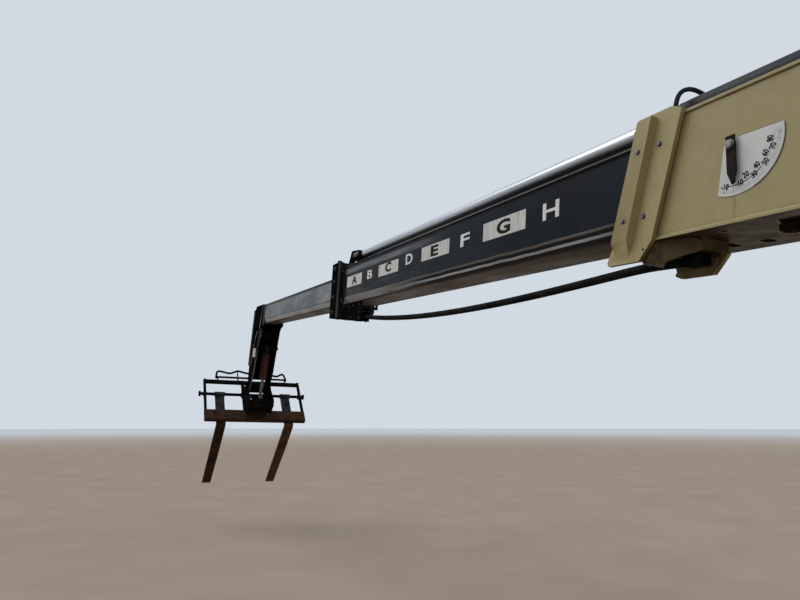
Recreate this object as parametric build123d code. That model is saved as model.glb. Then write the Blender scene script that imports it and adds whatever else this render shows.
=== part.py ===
from build123d import *
import math
import os

os.makedirs("parts", exist_ok=True)

# Telescopic boom of a telescopic handler, level, drawn out, with its fork
# carriage tipped forward. Millimetres. The origin is the middle of the rear
# pivot bore; +X runs out along the boom, +Y is left, +Z is up.

# ---------------------------------------------------------------- dimensions
# outer section
OUT_X0, OUT_X1 = -150, 5335            # rear and front end of the tube
OUT_Z0, OUT_Z1 = -180, 325             # underside and top of its plates
OUT_WEB_Y, OUT_WEB_T = 208, 8          # outer face of a web, its thickness
OUT_LIP_Y, OUT_PLATE_T = 216, 12       # half width of top and bottom plates
RAKE = math.radians(13.4)              # the front collar leans back at its top
PIVOT_R, PIVOT_BOSS_R, PIVOT_HALF = 40, 78, 240
LIFT_X, LIFT_Z, LIFT_R = 2600, -515, 32
SLAVE_X, SLAVE_Z, SLAVE_R = 760, -300, 25
SLOT = (5075, 118, 165)                # slot in the underside for the hose box: from x, y from, y to

# second section
SEC_X0, SEC_X1 = 3800, 9540
SEC_Z0, SEC_Z1 = -118, 268
SEC_BEND = (44, 66)                    # folded lower corner: across, up
SEC_Y, SEC_T = 178, 6
SEC_LIP_Y, SEC_PLATE_T = 187, 10

# third section
THI_X0, THI_X1 = 7620, 13560
THI_Z0, THI_Z1 = -100, 198
THI_BEND = (36, 58)
THI_Y, THI_T = 145, 6
THI_LIP_Y, THI_PLATE_T = 151, 8

# extension cylinder on top
CYL_Z, CYL_R, CYL_BORE_R, ROD_R = 414, 61, 50, 43
CYL_X0, CYL_X1 = 900, 5245
EYE_X = 9215

# angle dial on the left web
DIAL_X, DIAL_Z, DIAL_RAD = 4867, 110.5, 188
POINTER_LEAN = 2.2                     # the pointer's reading as it hangs, degrees

# head and carriage
PIN = (13980, -1200)                   # carriage pivot
PIN_R = 30
HEAD_Y, HEAD_T = 146, 24               # inner face and thickness of a side plate
TILT = 46                              # the carriage's forward tip at rest, degrees
CAR_Y = 192                            # mid plane of a coupler side plate
FORK_Y, FORK_W, FORK_T, FORK_LEN = 575, 150, 50, 1585
SHAFT = (363, 192)                     # fork shaft in the carriage's own level frame
SHAFT_R = 26
UPPER = (13520, -500)                  # tilt cylinder's upper pin
LUG = (-66, -256)                      # tilt cylinder's rod eye, in the carriage's frame


# ------------------------------------------------------------------- helpers
def box(x0, x1, y0, y1, z0, z1):
    return Pos((x0 + x1) / 2, (y0 + y1) / 2, (z0 + z1) / 2) * Box(
        abs(x1 - x0), abs(y1 - y0), abs(z1 - z0))


def cyl_y(x, z, r, y0, y1):
    """A round bar along Y."""
    return Pos(x, (y0 + y1) / 2, z) * Rot(90, 0, 0) * Cylinder(r, abs(y1 - y0))


def cyl_x(x0, x1, y, z, r):
    """A round bar along X."""
    return Pos((x0 + x1) / 2, y, z) * Rot(0, 90, 0) * Cylinder(r, abs(x1 - x0))


def cyl_z(x, y, r, z0, z1):
    return Pos(x, y, (z0 + z1) / 2) * Cylinder(r, abs(z1 - z0))


def plate_y(points, y0, y1):
    """A flat plate: outline in X and Z, thickness along Y."""
    face = make_face(Polyline(*[(x, 0, z) for x, z in points], close=True))
    solid = extrude(face, amount=abs(y1 - y0), dir=(0, 1, 0))
    return Pos(0, min(y0, y1), 0) * solid


def both(make):
    """A piece and its mirror image about the boom's middle plane."""
    one = make()
    return [one, mirror(one, about=Plane.XZ)]


def fuse(first, *rest):
    for piece in rest:
        first = first + piece
    return first


def section_plates(name, x0, x1, web_y, web_t, z0, z1, plate_t, lip_y, bend):
    """A boom section from its plates: a top plate with lips, two webs, a bottom plate, and the
    slanted folds between web and bottom. Each plate is a solid that meets the next face to face."""
    across, up = bend
    t = web_t
    ay, bz = web_y, z0 + up                # where the fold leaves the web, outside
    cy, dz = web_y - across, z0            # where it meets the bottom plate, outside
    put(name + "_top_plate", box(x0, x1, -lip_y, lip_y, z1 - plate_t, z1))
    put(name + "_webs", *[box(x0, x1, s * (web_y - t), s * web_y, bz, z1 - plate_t) for s in (-1, 1)])
    put(name + "_bottom_plate", box(x0, x1, -cy + 1, cy - 1, dz, dz + t))
    folds = []
    for s in (-1, 1):
        outline = [(s * ay, bz), (s * cy, dz), (s * (cy - 1), dz), (s * (cy - 1), dz + t), (s * (ay - t), bz)]
        face = make_face(Polyline(*[(x0, y, z) for y, z in outline], close=True))
        folds.append(extrude(face, amount=x1 - x0, dir=(1, 0, 0)))
    put(name + "_folds", *folds)


def tipped(u, w):
    """A point of the carriage's level frame, about its pivot, as it stands at rest."""
    a = math.radians(TILT)
    return (PIN[0] + u * math.cos(a) + w * math.sin(a),
            PIN[1] - u * math.sin(a) + w * math.cos(a))


def tip(shape):
    """A shape drawn about the level pivot, moved to where it is at rest."""
    return Pos(PIN[0], 0, PIN[1]) * Rot(0, TILT, 0) * shape


def route(points, radius):
    """A round hose: straight runs joined by tangent arcs as large as they allow."""
    pts = [Vector(*p) for p in points]
    radii = []
    for a, b, c in zip(pts, pts[1:], pts[2:]):
        turn = math.radians((b - a).get_angle(c - b))
        short = min((b - a).length, (c - b).length)
        radii.append(0.45 * short / math.tan(turn / 2))
    line = FilletPolyline(*pts, radius=radii)
    start = Plane(origin=line @ 0, z_dir=line % 0)
    tube = sweep(start * Circle(radius), path=line)
    want = math.pi * radius ** 2 * line.length
    print("hose: length %.0f, volume ratio %.4f, radii %s" % (
        line.length, tube.volume / want, [round(r) for r in radii]))
    return tube


NODES = {}


def put(name, *solids):
    flat = []
    for s in solids:
        flat += list(s) if isinstance(s, (list, tuple)) else [s]
    NODES[name] = Compound(children=flat) if len(flat) > 1 else flat[0]


# ------------------------------------------------------------- outer section
outer = box(OUT_X0, OUT_X1, -OUT_LIP_Y, OUT_LIP_Y, OUT_Z1 - OUT_PLATE_T, OUT_Z1)
outer += box(OUT_X0, OUT_X1, -OUT_LIP_Y, OUT_LIP_Y, OUT_Z0, OUT_Z0 + OUT_PLATE_T)
for s in (-1, 1):
    outer += box(OUT_X0, OUT_X1, s * OUT_WEB_Y, s * (OUT_WEB_Y - OUT_WEB_T),
                 OUT_Z0 + 1, OUT_Z1 - 1)
outer -= cyl_y(0, 0, PIVOT_BOSS_R, -400, 400)
# the slot that the hose box runs in, open at the front, and access holes behind it
outer -= box(SLOT[0], OUT_X1 + 50, SLOT[1], SLOT[2], OUT_Z0 - 5, OUT_Z0 + OUT_PLATE_T + 5)
outer -= box(5075, 5240, -25, SLOT[2], OUT_Z0 - 5, OUT_Z0 + OUT_PLATE_T + 5)
outer -= box(5075, 5128, -130, -20, OUT_Z0 - 5, OUT_Z0 + OUT_PLATE_T + 5)
# the large opening under the dial
hatch = [(4330, -60), (4330, 118), (4352, 140), (4755, 140), (4768, 118), (4778, 86), (4806, 60),
         (4845, 0), (4862, -50), (4845, -82), (4352, -82)]
outer -= Pos(0, 0, OUT_Z0 - 20) * extrude(
    make_face(Polyline(*[(x, y, 0) for x, y in hatch], close=True)), amount=60, dir=(0, 0, 1))
# smaller openings in the underside: x, y, length, width, corner radius
for x, y, ln, wd, r in ((4940, -121, 50, 67, 22), (4958, 131, 22, 38, 9),
                        (3300, -95, 220, 90, 30), (600, 110, 300, 110, 40)):
    cut = extrude(RectangleRounded(ln, wd, r), amount=60)
    outer -= Pos(x + ln / 2, y, OUT_Z0 - 20) * cut
put("outer_section", outer)

# rear pivot: a cross tube, with a stiffening plate on each web
pivot = cyl_y(0, 0, PIVOT_BOSS_R, -PIVOT_HALF, PIVOT_HALF) - cyl_y(0, 0, PIVOT_R, -300, 300)
put("pivot_tube", pivot)
doubler = [(-150, -150), (-150, 200), (60, 290), (520, 290), (760, 200), (760, -150)]


def make_doubler():
    p = plate_y(doubler, OUT_WEB_Y, OUT_WEB_Y + 12)
    return p - cyl_y(0, 0, PIVOT_BOSS_R, 0, 400)


put("pivot_doublers", both(make_doubler))

# front collar: a raked side plate on each web, a bar over the top and one below
def raked(x_mid, z):
    """The collar's lean: x shifted back with height, about z = 50."""
    return x_mid - (z - 50) * math.tan(RAKE)


COLLAR_MID, COLLAR_FACE, COLLAR_STEP = 5276, 238, 270     # half widths over the plate and its raised front part
side = [
    (5278, 352), (5116, 352), (5068, 330),
    (raked(COLLAR_MID - 117, -183), -183),
    (raked(COLLAR_MID - 117, -262) + 48, -262),
    (raked(COLLAR_MID + 117, -262) - 14, -262),
    (raked(COLLAR_MID + 117, -240) - 2, -246),
    (5390, -108),
]


def make_collar_side():
    p = plate_y(side, OUT_LIP_Y, COLLAR_FACE)
    # the front half stands out in a step that slopes back into the plate at its lower end
    front = [(5189, 333), (5248, 333), (5262, 328), (5268, 316), (5390, -108), (5412, -184), (5408, -232), (5338, -232)]
    slope = Polygon((COLLAR_FACE - 1, 340), (COLLAR_STEP, 340), (COLLAR_STEP, -165), (COLLAR_FACE, -228),
                    (COLLAR_FACE - 1, -228), align=None)
    p += plate_y(front, COLLAR_FACE - 1, COLLAR_STEP) & extrude(Plane.YZ.offset(5300) * slope, 250, both=True)
    p -= cyl_y(5258, -216, 6, 0, 400)
    # packing between the web and the plate
    pack = [(raked(COLLAR_MID - 80, 300), 300), (raked(COLLAR_MID - 80, -160), -160),
            (5330, -160), (raked(COLLAR_MID + 60, 300) - 4, 300)]
    p += plate_y(pack, OUT_WEB_Y, OUT_LIP_Y + 1)
    return p


collar_top = box(5116, 5278, -OUT_LIP_Y - 1, OUT_LIP_Y + 1, OUT_Z1, 352) - cyl_x(5000, 5400, 0, CYL_Z, CYL_R + 3)
collar_low = box(5240, 5420, -OUT_LIP_Y, -30, -206, OUT_Z0)
put("outer_collar", fuse(collar_top, *both(make_collar_side)) + collar_low)

# wear pads that carry the second section at the collar: y0, y1, z0, z1
pads = []
for y0, y1, z0, z1 in (
    (-150, -60, SEC_Z1 + 1, OUT_Z1 - OUT_PLATE_T),
    (60, 150, SEC_Z1 + 1, OUT_Z1 - OUT_PLATE_T),
    (-170, -30, OUT_Z0 + OUT_PLATE_T, SEC_Z0 - 1),
):
    pads.append(box(5130, 5320, y0, y1, z0, z1))
for s in (-1, 1):
    for z0, z1 in ((-80, 20), (140, 240)):
        pads.append(box(5130, 5320, s * (OUT_WEB_Y - OUT_WEB_T), s * (SEC_Y + 1), z0, z1))
put("outer_wear_pads", pads)

# lugs for the lift cylinders: an ear under each web
def make_lift_ear():
    ear = plate_y([(LIFT_X - 210, OUT_Z0), (LIFT_X - 75, LIFT_Z - 10), (LIFT_X - 60, LIFT_Z - 50),
                   (LIFT_X + 60, LIFT_Z - 50), (LIFT_X + 75, LIFT_Z - 10), (LIFT_X + 210, OUT_Z0)],
                  194, 220)
    ear += cyl_y(LIFT_X, LIFT_Z, 72, 192, 236)
    return ear - cyl_y(LIFT_X, LIFT_Z, LIFT_R, 0, 400)


put("lift_lugs", both(make_lift_ear))


def make_slave_ear():
    ear = plate_y([(SLAVE_X - 150, OUT_Z0), (SLAVE_X - 50, SLAVE_Z - 20), (SLAVE_X - 30, SLAVE_Z - 48),
                   (SLAVE_X + 30, SLAVE_Z - 48), (SLAVE_X + 50, SLAVE_Z - 20), (SLAVE_X + 150, OUT_Z0)],
                  38, 60)
    ear += cyl_y(SLAVE_X, SLAVE_Z, 54, 36, 72)
    return ear - cyl_y(SLAVE_X, SLAVE_Z, SLAVE_R, 0, 300)


put("slave_lugs", both(make_slave_ear))

# extension cylinder: barrel with end caps, on saddles on the top plate
barrel = cyl_x(CYL_X0 + 90, CYL_X1, 0, CYL_Z, CYL_R) - cyl_x(CYL_X0 + 120, CYL_X1 - 90, 0, CYL_Z, CYL_BORE_R)
barrel -= cyl_x(CYL_X1 - 110, CYL_X1 + 10, 0, CYL_Z, ROD_R + 0.4)
barrel += cyl_y(CYL_X0 - 40, CYL_Z, 55, -38, 38) + box(CYL_X0 - 40, CYL_X0 + 92, -30, 30, CYL_Z - 45, CYL_Z + 45)
barrel -= cyl_y(CYL_X0 - 40, CYL_Z, 30, -60, 60)
barrel += cyl_y(5010, CYL_Z, 16, -CYL_R - 24, -CYL_R + 6)
put("extension_barrel", barrel)
put("barrel_pin", cyl_y(CYL_X0 - 40, CYL_Z, 29.7, -95, 95))


def make_barrel_ear():
    ear = plate_y([(730, OUT_Z1), (800, CYL_Z + 30), (830, CYL_Z + 62), (890, CYL_Z + 62),
                   (920, CYL_Z + 30), (1000, OUT_Z1)], 44, 68)
    return ear - cyl_y(CYL_X0 - 40, CYL_Z, 30, 0, 200)


put("barrel_anchor", both(make_barrel_ear))
saddles = []
for x in (2300, 3700, 4860):
    block = box(x, x + 70, -88, 88, OUT_Z1, CYL_Z - 18)
    saddles.append(block - cyl_x(x - 10, x + 80, 0, CYL_Z, CYL_R + 0.3))
put("barrel_saddles", saddles)

# dial plate: a quarter sector on the left web, from its pivot, and the pointer's bolt
def dial_xz(r, deg):
    """Angle 0 hangs straight down, 90 points back along the boom."""
    a = math.radians(deg)
    return (DIAL_X - r * math.sin(a), DIAL_Z - r * math.cos(a))


rim = [dial_xz(DIAL_RAD, -20 + i * 5.89) for i in range(21)]
dial = plate_y([(4901, 136.1)] + rim, OUT_WEB_Y, OUT_WEB_Y + 3)
put("dial_plate", dial)
put("pointer_bolt", cyl_y(DIAL_X, DIAL_Z, 7, OUT_WEB_Y + 3, OUT_WEB_Y + 24)
    + cyl_y(DIAL_X, DIAL_Z, 14, OUT_WEB_Y + 24, OUT_WEB_Y + 32))
arm = plate_y([(-18, 33), (18, 33), (18, -106), (2, -152), (-2, -152), (-18, -106)], -3, 3)
arm += cyl_y(0, 0, 19, -4, 4)
arm -= cyl_y(0, 0, 7.5, -50, 50)
put("dial_pointer", Pos(DIAL_X, OUT_WEB_Y + 17, DIAL_Z) * Rot(0, POINTER_LEAN, 0) * arm)

# guide for the hose carrier under the collar: a flared cheek on the left, a longer straight
# one with a foot on the right
CHEEK = (5094, 130)                    # where the flare begins
FLARE = math.degrees(math.atan2(83, 131))
flare = [(0, OUT_Z0), (155, OUT_Z0), (182, -265), (150, -288), (118, -296), (109, -271), (57, -252), (0, -238)]
near = Pos(CHEEK[0], CHEEK[1], 0) * Rot(0, 0, FLARE) * plate_y(flare, -10, 0)
near += plate_y([(5099, OUT_Z0), (5082, -184), (5066, -200), (5063, -229), (5099, -239)], 120, 130)
far = [(5330, OUT_Z0), (5092, OUT_Z0), (5092, -256), (5142, -306), (5286, -306), (5302, -296),
       (5308, -262), (5330, -240)]
near += plate_y([(5228, OUT_Z0), (5262, OUT_Z0), (5282, -267), (5255, -282), (5228, -284)], 206, OUT_LIP_Y)
wall = box(5063, 5073, -24, 125, -229, OUT_Z0)
put("carrier_guide", near + wall, plate_y(far, -24, -12))
foot = [(5302, -284), (5254, -276), (5181, -246), (5096, -240), (5096, -256), (5142, -304), (5286, -304), (5302, -296)]
put("guide_foot", plate_y(foot, -12, 0))

# tray behind the guide that takes the carrier as the boom runs in
tray = box(1300, 4520, 185, 190, -400, OUT_Z0) + box(1300, 4520, 10, 15, -400, OUT_Z0)
for x in (1300, 2100, 2900, 3700, 4470):
    tray += box(x, x + 50, 10, 190, -406, -400)
put("carrier_tray", tray)

# ------------------------------------------------------------ second section
section_plates("second", SEC_X0, SEC_X1, SEC_Y, SEC_T, SEC_Z0, SEC_Z1, SEC_PLATE_T, SEC_LIP_Y, SEC_BEND)

# front collar: a deep frame at the end and a thin plate behind it
bore = box(9000, 9800, -SEC_Y, SEC_Y, SEC_Z0, SEC_Z1)
bore += box(9000, 9800, -SEC_LIP_Y, SEC_LIP_Y, SEC_Z1 - SEC_PLATE_T, SEC_Z1)
frame = box(9340, 9540, -215, 215, -252, 328) - box(9200, 9700, -155, 134, -226, SEC_Z0 + 20)
frame += cyl_y(9362, 326, 24, 176, 214)
frame -= extrude(Plane.YZ.offset(9440) * Polygon((-240, -139), (-240, -280), (-128, -280), align=None), 150, both=True)
back_plate = box(9200, 9225, -197, 197, -148, 290)
ties = [box(9222, 9345, s * SEC_Y, s * (SEC_Y + 12), -60, 220) for s in (-1, 1)]
put("second_collar", fuse(frame, back_plate, *ties) - bore)

put("extension_rod", fuse(cyl_x(4660, EYE_X - 72, 0, CYL_Z, ROD_R),
                          box(EYE_X - 75, EYE_X, -24, 24, CYL_Z - 26, CYL_Z + 26),
                          cyl_x(4650, 4730, 0, CYL_Z, CYL_BORE_R - 0.4),
                          cyl_y(EYE_X, CYL_Z, 50, -24, 24)) - cyl_y(EYE_X, CYL_Z, 25.2, -60, 60))


def make_rod_ear():
    ear = plate_y([(9518, 328), (9420, 478), (9340, 474), (9190, 456), (9160, 430), (9160, 372),
                   (9200, 358), (9345, 358), (9425, 328)], 30, 52)
    ear += cyl_y(EYE_X, CYL_Z, 46, 30, 56)
    return ear - cyl_y(EYE_X, CYL_Z, 25.2, 0, 300)


put("rod_bracket", both(make_rod_ear))
put("rod_pin", cyl_y(EYE_X, CYL_Z, 25, -70, 70))

# box below the section that holds the hose carrier's end: its left side reaches up to
# the section through the slot of the outer section, the rest stays below that section
side_plate = plate_y([(8790, SEC_Z0), (9340, SEC_Z0), (9340, -264), (9170, -279), (8790, -312)], 134, 144)
trough = plate_y([(8800, -196), (9340, -196), (9340, -260), (8800, -310)], 56, 134)
trough -= plate_y([(8780, -204), (9400, -204), (9400, -246), (8780, -304)], 62, 134)
flange = box(8790, 8802, 52, 134, -312, -190) - box(8700, 8900, 62, 122, -304, -238)
put("hose_box", fuse(side_plate, trough, flange) - box(9200, 9225, 100, 200, -148, -100))

# hose carrier: hangs between the box and the shoe in the guide
CARRIER_Y = 86
CARRIER_R = 21
carrier_pts = [
    (8860, -262), (8640, -280), (8360, -303), (7980, -323), (7560, -335), (7080, -336),
    (6600, -325), (6160, -306), (5740, -281), (5400, -258), (5270, -259), (5165, -262),
]
put("hose_carrier", route([(x, CARRIER_Y, z) for x, z in carrier_pts], CARRIER_R))
put("carrier_clamp", box(8860, 8940, 62, 134, -286, -214))
put("carrier_shoe", box(5085, 5165, 52, 120, -286, -236))

rear = []
for y0, y1, z0, z1 in (
    (-150, -60, SEC_Z1, OUT_Z1 - OUT_PLATE_T - 3), (60, 150, SEC_Z1, OUT_Z1 - OUT_PLATE_T - 3),
    (-170, -30, OUT_Z0 + OUT_PLATE_T + 3, SEC_Z0),
):
    rear.append(box(3820, 3980, y0, y1, z0, z1))
for s in (-1, 1):
    rear.append(box(3820, 3980, s * SEC_Y, s * (OUT_WEB_Y - OUT_WEB_T - 3), 60, 160))

fronts = []
for y0, y1, z0, z1 in (
    (-120, -40, THI_Z1 + 1, SEC_Z1 - SEC_PLATE_T), (40, 120, THI_Z1 + 1, SEC_Z1 - SEC_PLATE_T),
):
    fronts.append(box(9320, 9510, y0, y1, z0, z1))
for s in (-1, 1):
    fronts.append(box(9320, 9510, s * (SEC_Y - SEC_T), s * (THI_LIP_Y + 1), 60, 160))
put("second_wear_pads", rear + fronts)

# ------------------------------------------------------------- third section
section_plates("third", THI_X0, THI_X1, THI_Y, THI_T, THI_Z0, THI_Z1, THI_PLATE_T, THI_LIP_Y, THI_BEND)
rear3 = []
for y0, y1, z0, z1 in (
    (-120, -40, THI_Z1, SEC_Z1 - SEC_PLATE_T - 3), (40, 120, THI_Z1, SEC_Z1 - SEC_PLATE_T - 3),
):
    rear3.append(box(7640, 7800, y0, y1, z0, z1))
put("third_rear_pads", rear3)

# head: two side plates, a front plate, a rear web and the pivot bosses
profile = [
    (13215, 196), (13240, 206), (13815, 206), (13880, 150), (14050, -800), (14068, -1170),
    (14040, -1255), (13980, -1285), (13915, -1262), (13880, -1225), (13672, -915),
    (13450, -340), (13400, -215), (13330, -160), (13215, -135),
]


def make_head_side():
    p = plate_y(profile, HEAD_Y, HEAD_Y + HEAD_T)
    p -= cyl_y(UPPER[0], UPPER[1], 25.2, 0, 400)
    return p


head = fuse(*both(make_head_side))
# head's cross plates, as thin slabs from point to point: x, z, x, z, thickness, half width
for xa, za, xb, zb, t, hw in (
    (13880, 150, 14050, -800, 16, 190), (13815, 206, 13880, 150, 16, 168), (13402, -215, 13452, -340, 14, 150),
):
    dx, dz = xb - xa, zb - za
    n = math.hypot(dx, dz)
    ox, oz = -dz / n * t, dx / n * t
    if ox > 0:
        ox, oz = -ox, -oz
    head += plate_y([(xa, za), (xb, zb), (xb + ox, zb + oz), (xa + ox, za + oz)], -hw, hw)
head += box(13250, 13820, -148, 148, THI_Z1, 206)
# closing plate between the side plates below the front plate
head += plate_y([(14014, -790), (14040, -795), (14050, -1010), (14024, -1010)], -HEAD_Y - 2, HEAD_Y + 2)
head += cyl_y(PIN[0], PIN[1], 62, -174, 174)
head -= cyl_y(PIN[0], PIN[1], PIN_R, -300, 300)
head -= box(13000, THI_X1 + 2, -THI_LIP_Y, THI_LIP_Y, THI_Z1 - THI_PLATE_T, THI_Z1)
put("head", head)
put("carriage_pin", cyl_y(PIN[0], PIN[1], PIN_R - 0.3, -222, 222))
put("tilt_upper_pin", cyl_y(UPPER[0], UPPER[1], 25, -178, 178))

# ------------------------------------------------------------- tilt cylinder
eye = tipped(*LUG)
length = math.hypot(eye[0] - UPPER[0], eye[1] - UPPER[1])
lean = math.degrees(math.atan2(eye[0] - UPPER[0], UPPER[1] - eye[1]))


def along(shape):
    """A shape drawn hanging straight down from the upper pin, turned to the cylinder's line."""
    return Pos(UPPER[0], 0, UPPER[1]) * Rot(0, -lean, 0) * shape


TILT_BARREL = 520
tb = cyl_z(0, 0, 58, -TILT_BARREL, -60) - cyl_z(0, 0, 46, -TILT_BARREL + 40, -85)
tb += cyl_y(0, 0, 50, -32, 32) + box(-40, 40, -30, 30, -75, 0)
tb -= cyl_y(0, 0, 25.3, -60, 60)
tb -= cyl_z(0, 0, 25.4, -TILT_BARREL - 10, -TILT_BARREL + 50)
put("tilt_barrel", along(tb))
tr = cyl_z(0, 0, 25, -length + 30, -230) + cyl_z(0, 0, 45.6, -245, -205)
tr += cyl_y(0, -length, 40, -26, 26)
put("tilt_rod", along(tr))

# ------------------------------------------------------------------ carriage
# drawn level about its pivot: u forward, w up
LOW = (270, 350, -440, -240)           # lower bar: u0, u1, w0, w1
TOP = (285, 330, 398, 464)             # top bar
END_Y = 830
TUBE = (-112, -407)                    # cross tube behind the rod lug

plate = [(-60, 40), (-30, 75), (120, 130), (270, 460), (330, 460), (330, 250), (402, 225),
         (402, 150), (330, 130), (330, -240), (270, -240), (262, -256), (118, -452), (-100, -462),
         (-165, -420), (-160, -360), (-75, -60)]


def make_coupler_side():
    p = plate_y(plate, CAR_Y - 12, CAR_Y + 12)
    p += cyl_y(0, 0, 74, CAR_Y - 12, CAR_Y + 18)
    p -= cyl_y(0, 0, PIN_R + 0.3, 0, 400)
    p -= cyl_y(SHAFT[0], SHAFT[1], SHAFT_R + 0.3, 0, 400)
    return p


def make_lug():
    ear = plate_y([(LUG[0] - 45, LUG[1]), (LUG[0] - 30, LUG[1] + 38), (LUG[0] + 30, LUG[1] + 38),
                   (LUG[0] + 45, LUG[1]), (TUBE[0] + 40, TUBE[1]), (TUBE[0] - 38, TUBE[1])], 34, 56)
    return ear


# a web between the side plates behind the shaft, with a window beside the cylinder, and a
# closing plate from the cross tube to the lower bar
web = box(250, 264, -CAR_Y, CAR_Y, -236, 96) - box(200, 300, 62, 128, -60, 40) - box(200, 300, -40, 20, -150, -96)
skid = plate_y([(266, -240), (266, -254), (-104, -450), (-118, -440)], -CAR_Y, CAR_Y)
coupler = fuse(*both(make_coupler_side), cyl_y(TUBE[0], TUBE[1], 40, -CAR_Y, CAR_Y), *both(make_lug), web, skid)
put("coupler", tip(coupler))
bar = box(LOW[0], LOW[1], -850, 850, LOW[2], LOW[3])
bar -= box(LOW[0] + 12, LOW[1] - 12, -900, 900, LOW[2] + 12, LOW[3] - 12)
bar += box(276, 330, -176, 176, LOW[3] - 1, -212)
put("lower_bar", tip(bar))
ends = []
for s in (-1, 1):
    up = plate_y([(285, 480), (318, 480), (330, 460), (330, 240), (400, 220), (400, 160), (330, 130),
                  (330, LOW[3]), (285, LOW[3])], s * END_Y - 20, s * END_Y + 20)
    ends.append(up - cyl_y(SHAFT[0], SHAFT[1], SHAFT_R + 0.3, -1000, 1000))
back = fuse(box(TOP[0], TOP[1], -END_Y, -CAR_Y - 13, TOP[2], TOP[3]), ends[0])
back2 = fuse(box(TOP[0], TOP[1], CAR_Y + 13, END_Y, TOP[2], TOP[3]), ends[1])
mid = box(TOP[0], TOP[1], -CAR_Y + 13, CAR_Y - 13, TOP[2], TOP[3])
put("backrest", tip(back), tip(back2), tip(mid))
shaft = cyl_y(SHAFT[0], SHAFT[1], SHAFT_R, -925, 925)
for s in (-1, 1):
    shaft += cyl_y(SHAFT[0], SHAFT[1], 46, s * 895, s * 925)
put("fork_shaft", tip(shaft))

# hose bar over the backrest: two posts, a bar, and the hose clipped to it
hb = cyl_y(300, 545, 18, -612, 628)
for y in (-612, 628):
    hb += cyl_z(300, y, 22, 522, 566)
for y in (-590, -240, 255, 605):
    hb += box(292, 308, y - 10, y + 10, TOP[3], 545)
hb += box(294, 306, 245, 263, 545, 700)
put("hose_bar", tip(hb))
hose_pts = [
    (628, 566), (626, 640), (592, 700), (500, 674), (390, 642), (320, 678), (253, 722), (170, 700),
    (78, 660), (-30, 694), (-140, 730), (-240, 694), (-348, 652), (-453, 620), (-520, 660),
    (-572, 700), (-606, 640), (-612, 566),
]
hose = route([(300, y, w) for y, w in hose_pts], 18)
put("carriage_hose", tip(hose))

# -------------------------------------------------------------------- forks
for name, s in (("left_fork", 1), ("right_fork", -1)):
    u0 = 362
    fk = plate_y([(u0, 192), (u0, -440), (u0 + 12, -478), (u0 + 50, -490), (u0 + 640, -490),
                  (u0 + 50 + FORK_LEN, -456), (u0 + 50 + FORK_LEN, -440), (u0 + 50, -440), (u0 + 50, 192)],
                 s * FORK_Y - FORK_W / 2, s * FORK_Y + FORK_W / 2)
    fk += cyl_y(SHAFT[0], SHAFT[1], 42, s * FORK_Y - 88, s * FORK_Y + 88)
    fk -= cyl_y(SHAFT[0], SHAFT[1], SHAFT_R + 0.4, -1000, 1000)
    put(name, tip(fk))

# hose loop on top, from the collar's top bar over the barrel to the port on its far side
put("top_hose", route([(5204, 120, 366), (5200, 118, 430), (5210, 80, 492), (5212, 20, 525),
                       (5200, -40, 515), (5165, -80, 462), (5147, -88, 400)], 10))
put("hose_block", box(5182, 5226, 100, 142, 352, 366), box(5130, 5163, -106, -50, 368, 400)
    - cyl_x(5000, 5200, 0, CYL_Z, CYL_R + 0.3))

for name, shape in NODES.items():
    export_step(shape if isinstance(shape, Compound) else Compound(children=[shape]), f"parts/{name}.step")
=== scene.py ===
import math
import bpy
import bmesh
from mathutils import Vector, Matrix, noise
from mathutils.geometry import tessellate_polygon


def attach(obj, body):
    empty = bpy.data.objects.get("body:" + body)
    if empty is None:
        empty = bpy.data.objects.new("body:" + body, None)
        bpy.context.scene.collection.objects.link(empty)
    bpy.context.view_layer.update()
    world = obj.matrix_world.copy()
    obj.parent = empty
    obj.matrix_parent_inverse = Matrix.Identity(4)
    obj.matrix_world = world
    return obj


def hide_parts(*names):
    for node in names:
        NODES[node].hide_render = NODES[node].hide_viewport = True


# A telescopic handler boom, level, in metres: +X runs out along the boom, +Y is
# left, +Z is up, and the origin is the middle of the rear pivot bore.

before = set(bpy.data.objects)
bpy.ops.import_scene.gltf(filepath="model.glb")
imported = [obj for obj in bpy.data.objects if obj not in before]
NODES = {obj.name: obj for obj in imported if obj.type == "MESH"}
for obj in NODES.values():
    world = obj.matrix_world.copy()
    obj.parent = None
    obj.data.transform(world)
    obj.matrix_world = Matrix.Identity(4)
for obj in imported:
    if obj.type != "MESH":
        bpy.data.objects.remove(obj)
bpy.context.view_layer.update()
scene = bpy.context.scene

# ------------------------------------------------------------------- camera
cam_data = bpy.data.cameras.new("viewpoint")
cam_data.sensor_fit = "HORIZONTAL"
cam_data.sensor_width = 36.0
cam_data.lens = 27.0
cam_data.clip_start = 0.05
cam_data.clip_end = 600.0
camera = bpy.data.objects.new("viewpoint", cam_data)
scene.collection.objects.link(camera)
RIGHT = Vector((-0.41511, -0.907985, 0.056988))
DOWN = Vector((0.086041, -0.101541, -0.991104))
AHEAD = Vector((0.905694, -0.406513, 0.120275))
CAM = Vector((3.443, 2.14, -0.779))
camera.matrix_world = Matrix((
    (RIGHT.x, -DOWN.x, -AHEAD.x, CAM.x),
    (RIGHT.y, -DOWN.y, -AHEAD.y, CAM.y),
    (RIGHT.z, -DOWN.z, -AHEAD.z, CAM.z),
    (0, 0, 0, 1)))
scene.camera = camera
scene.view_settings.view_transform = "Standard"

# ------------------------------------------------- places shared with the CAD
TILT = math.radians(46)
PIN = (13.980, -1.200)
UPPER = (13.520, -0.500)


def tipped(u, w, y=0.0):
    """A point of the carriage's level frame as it stands at rest."""
    return Vector((PIN[0] + u * math.cos(TILT) + w * math.sin(TILT), y,
                   PIN[1] - u * math.sin(TILT) + w * math.cos(TILT)))


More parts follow.
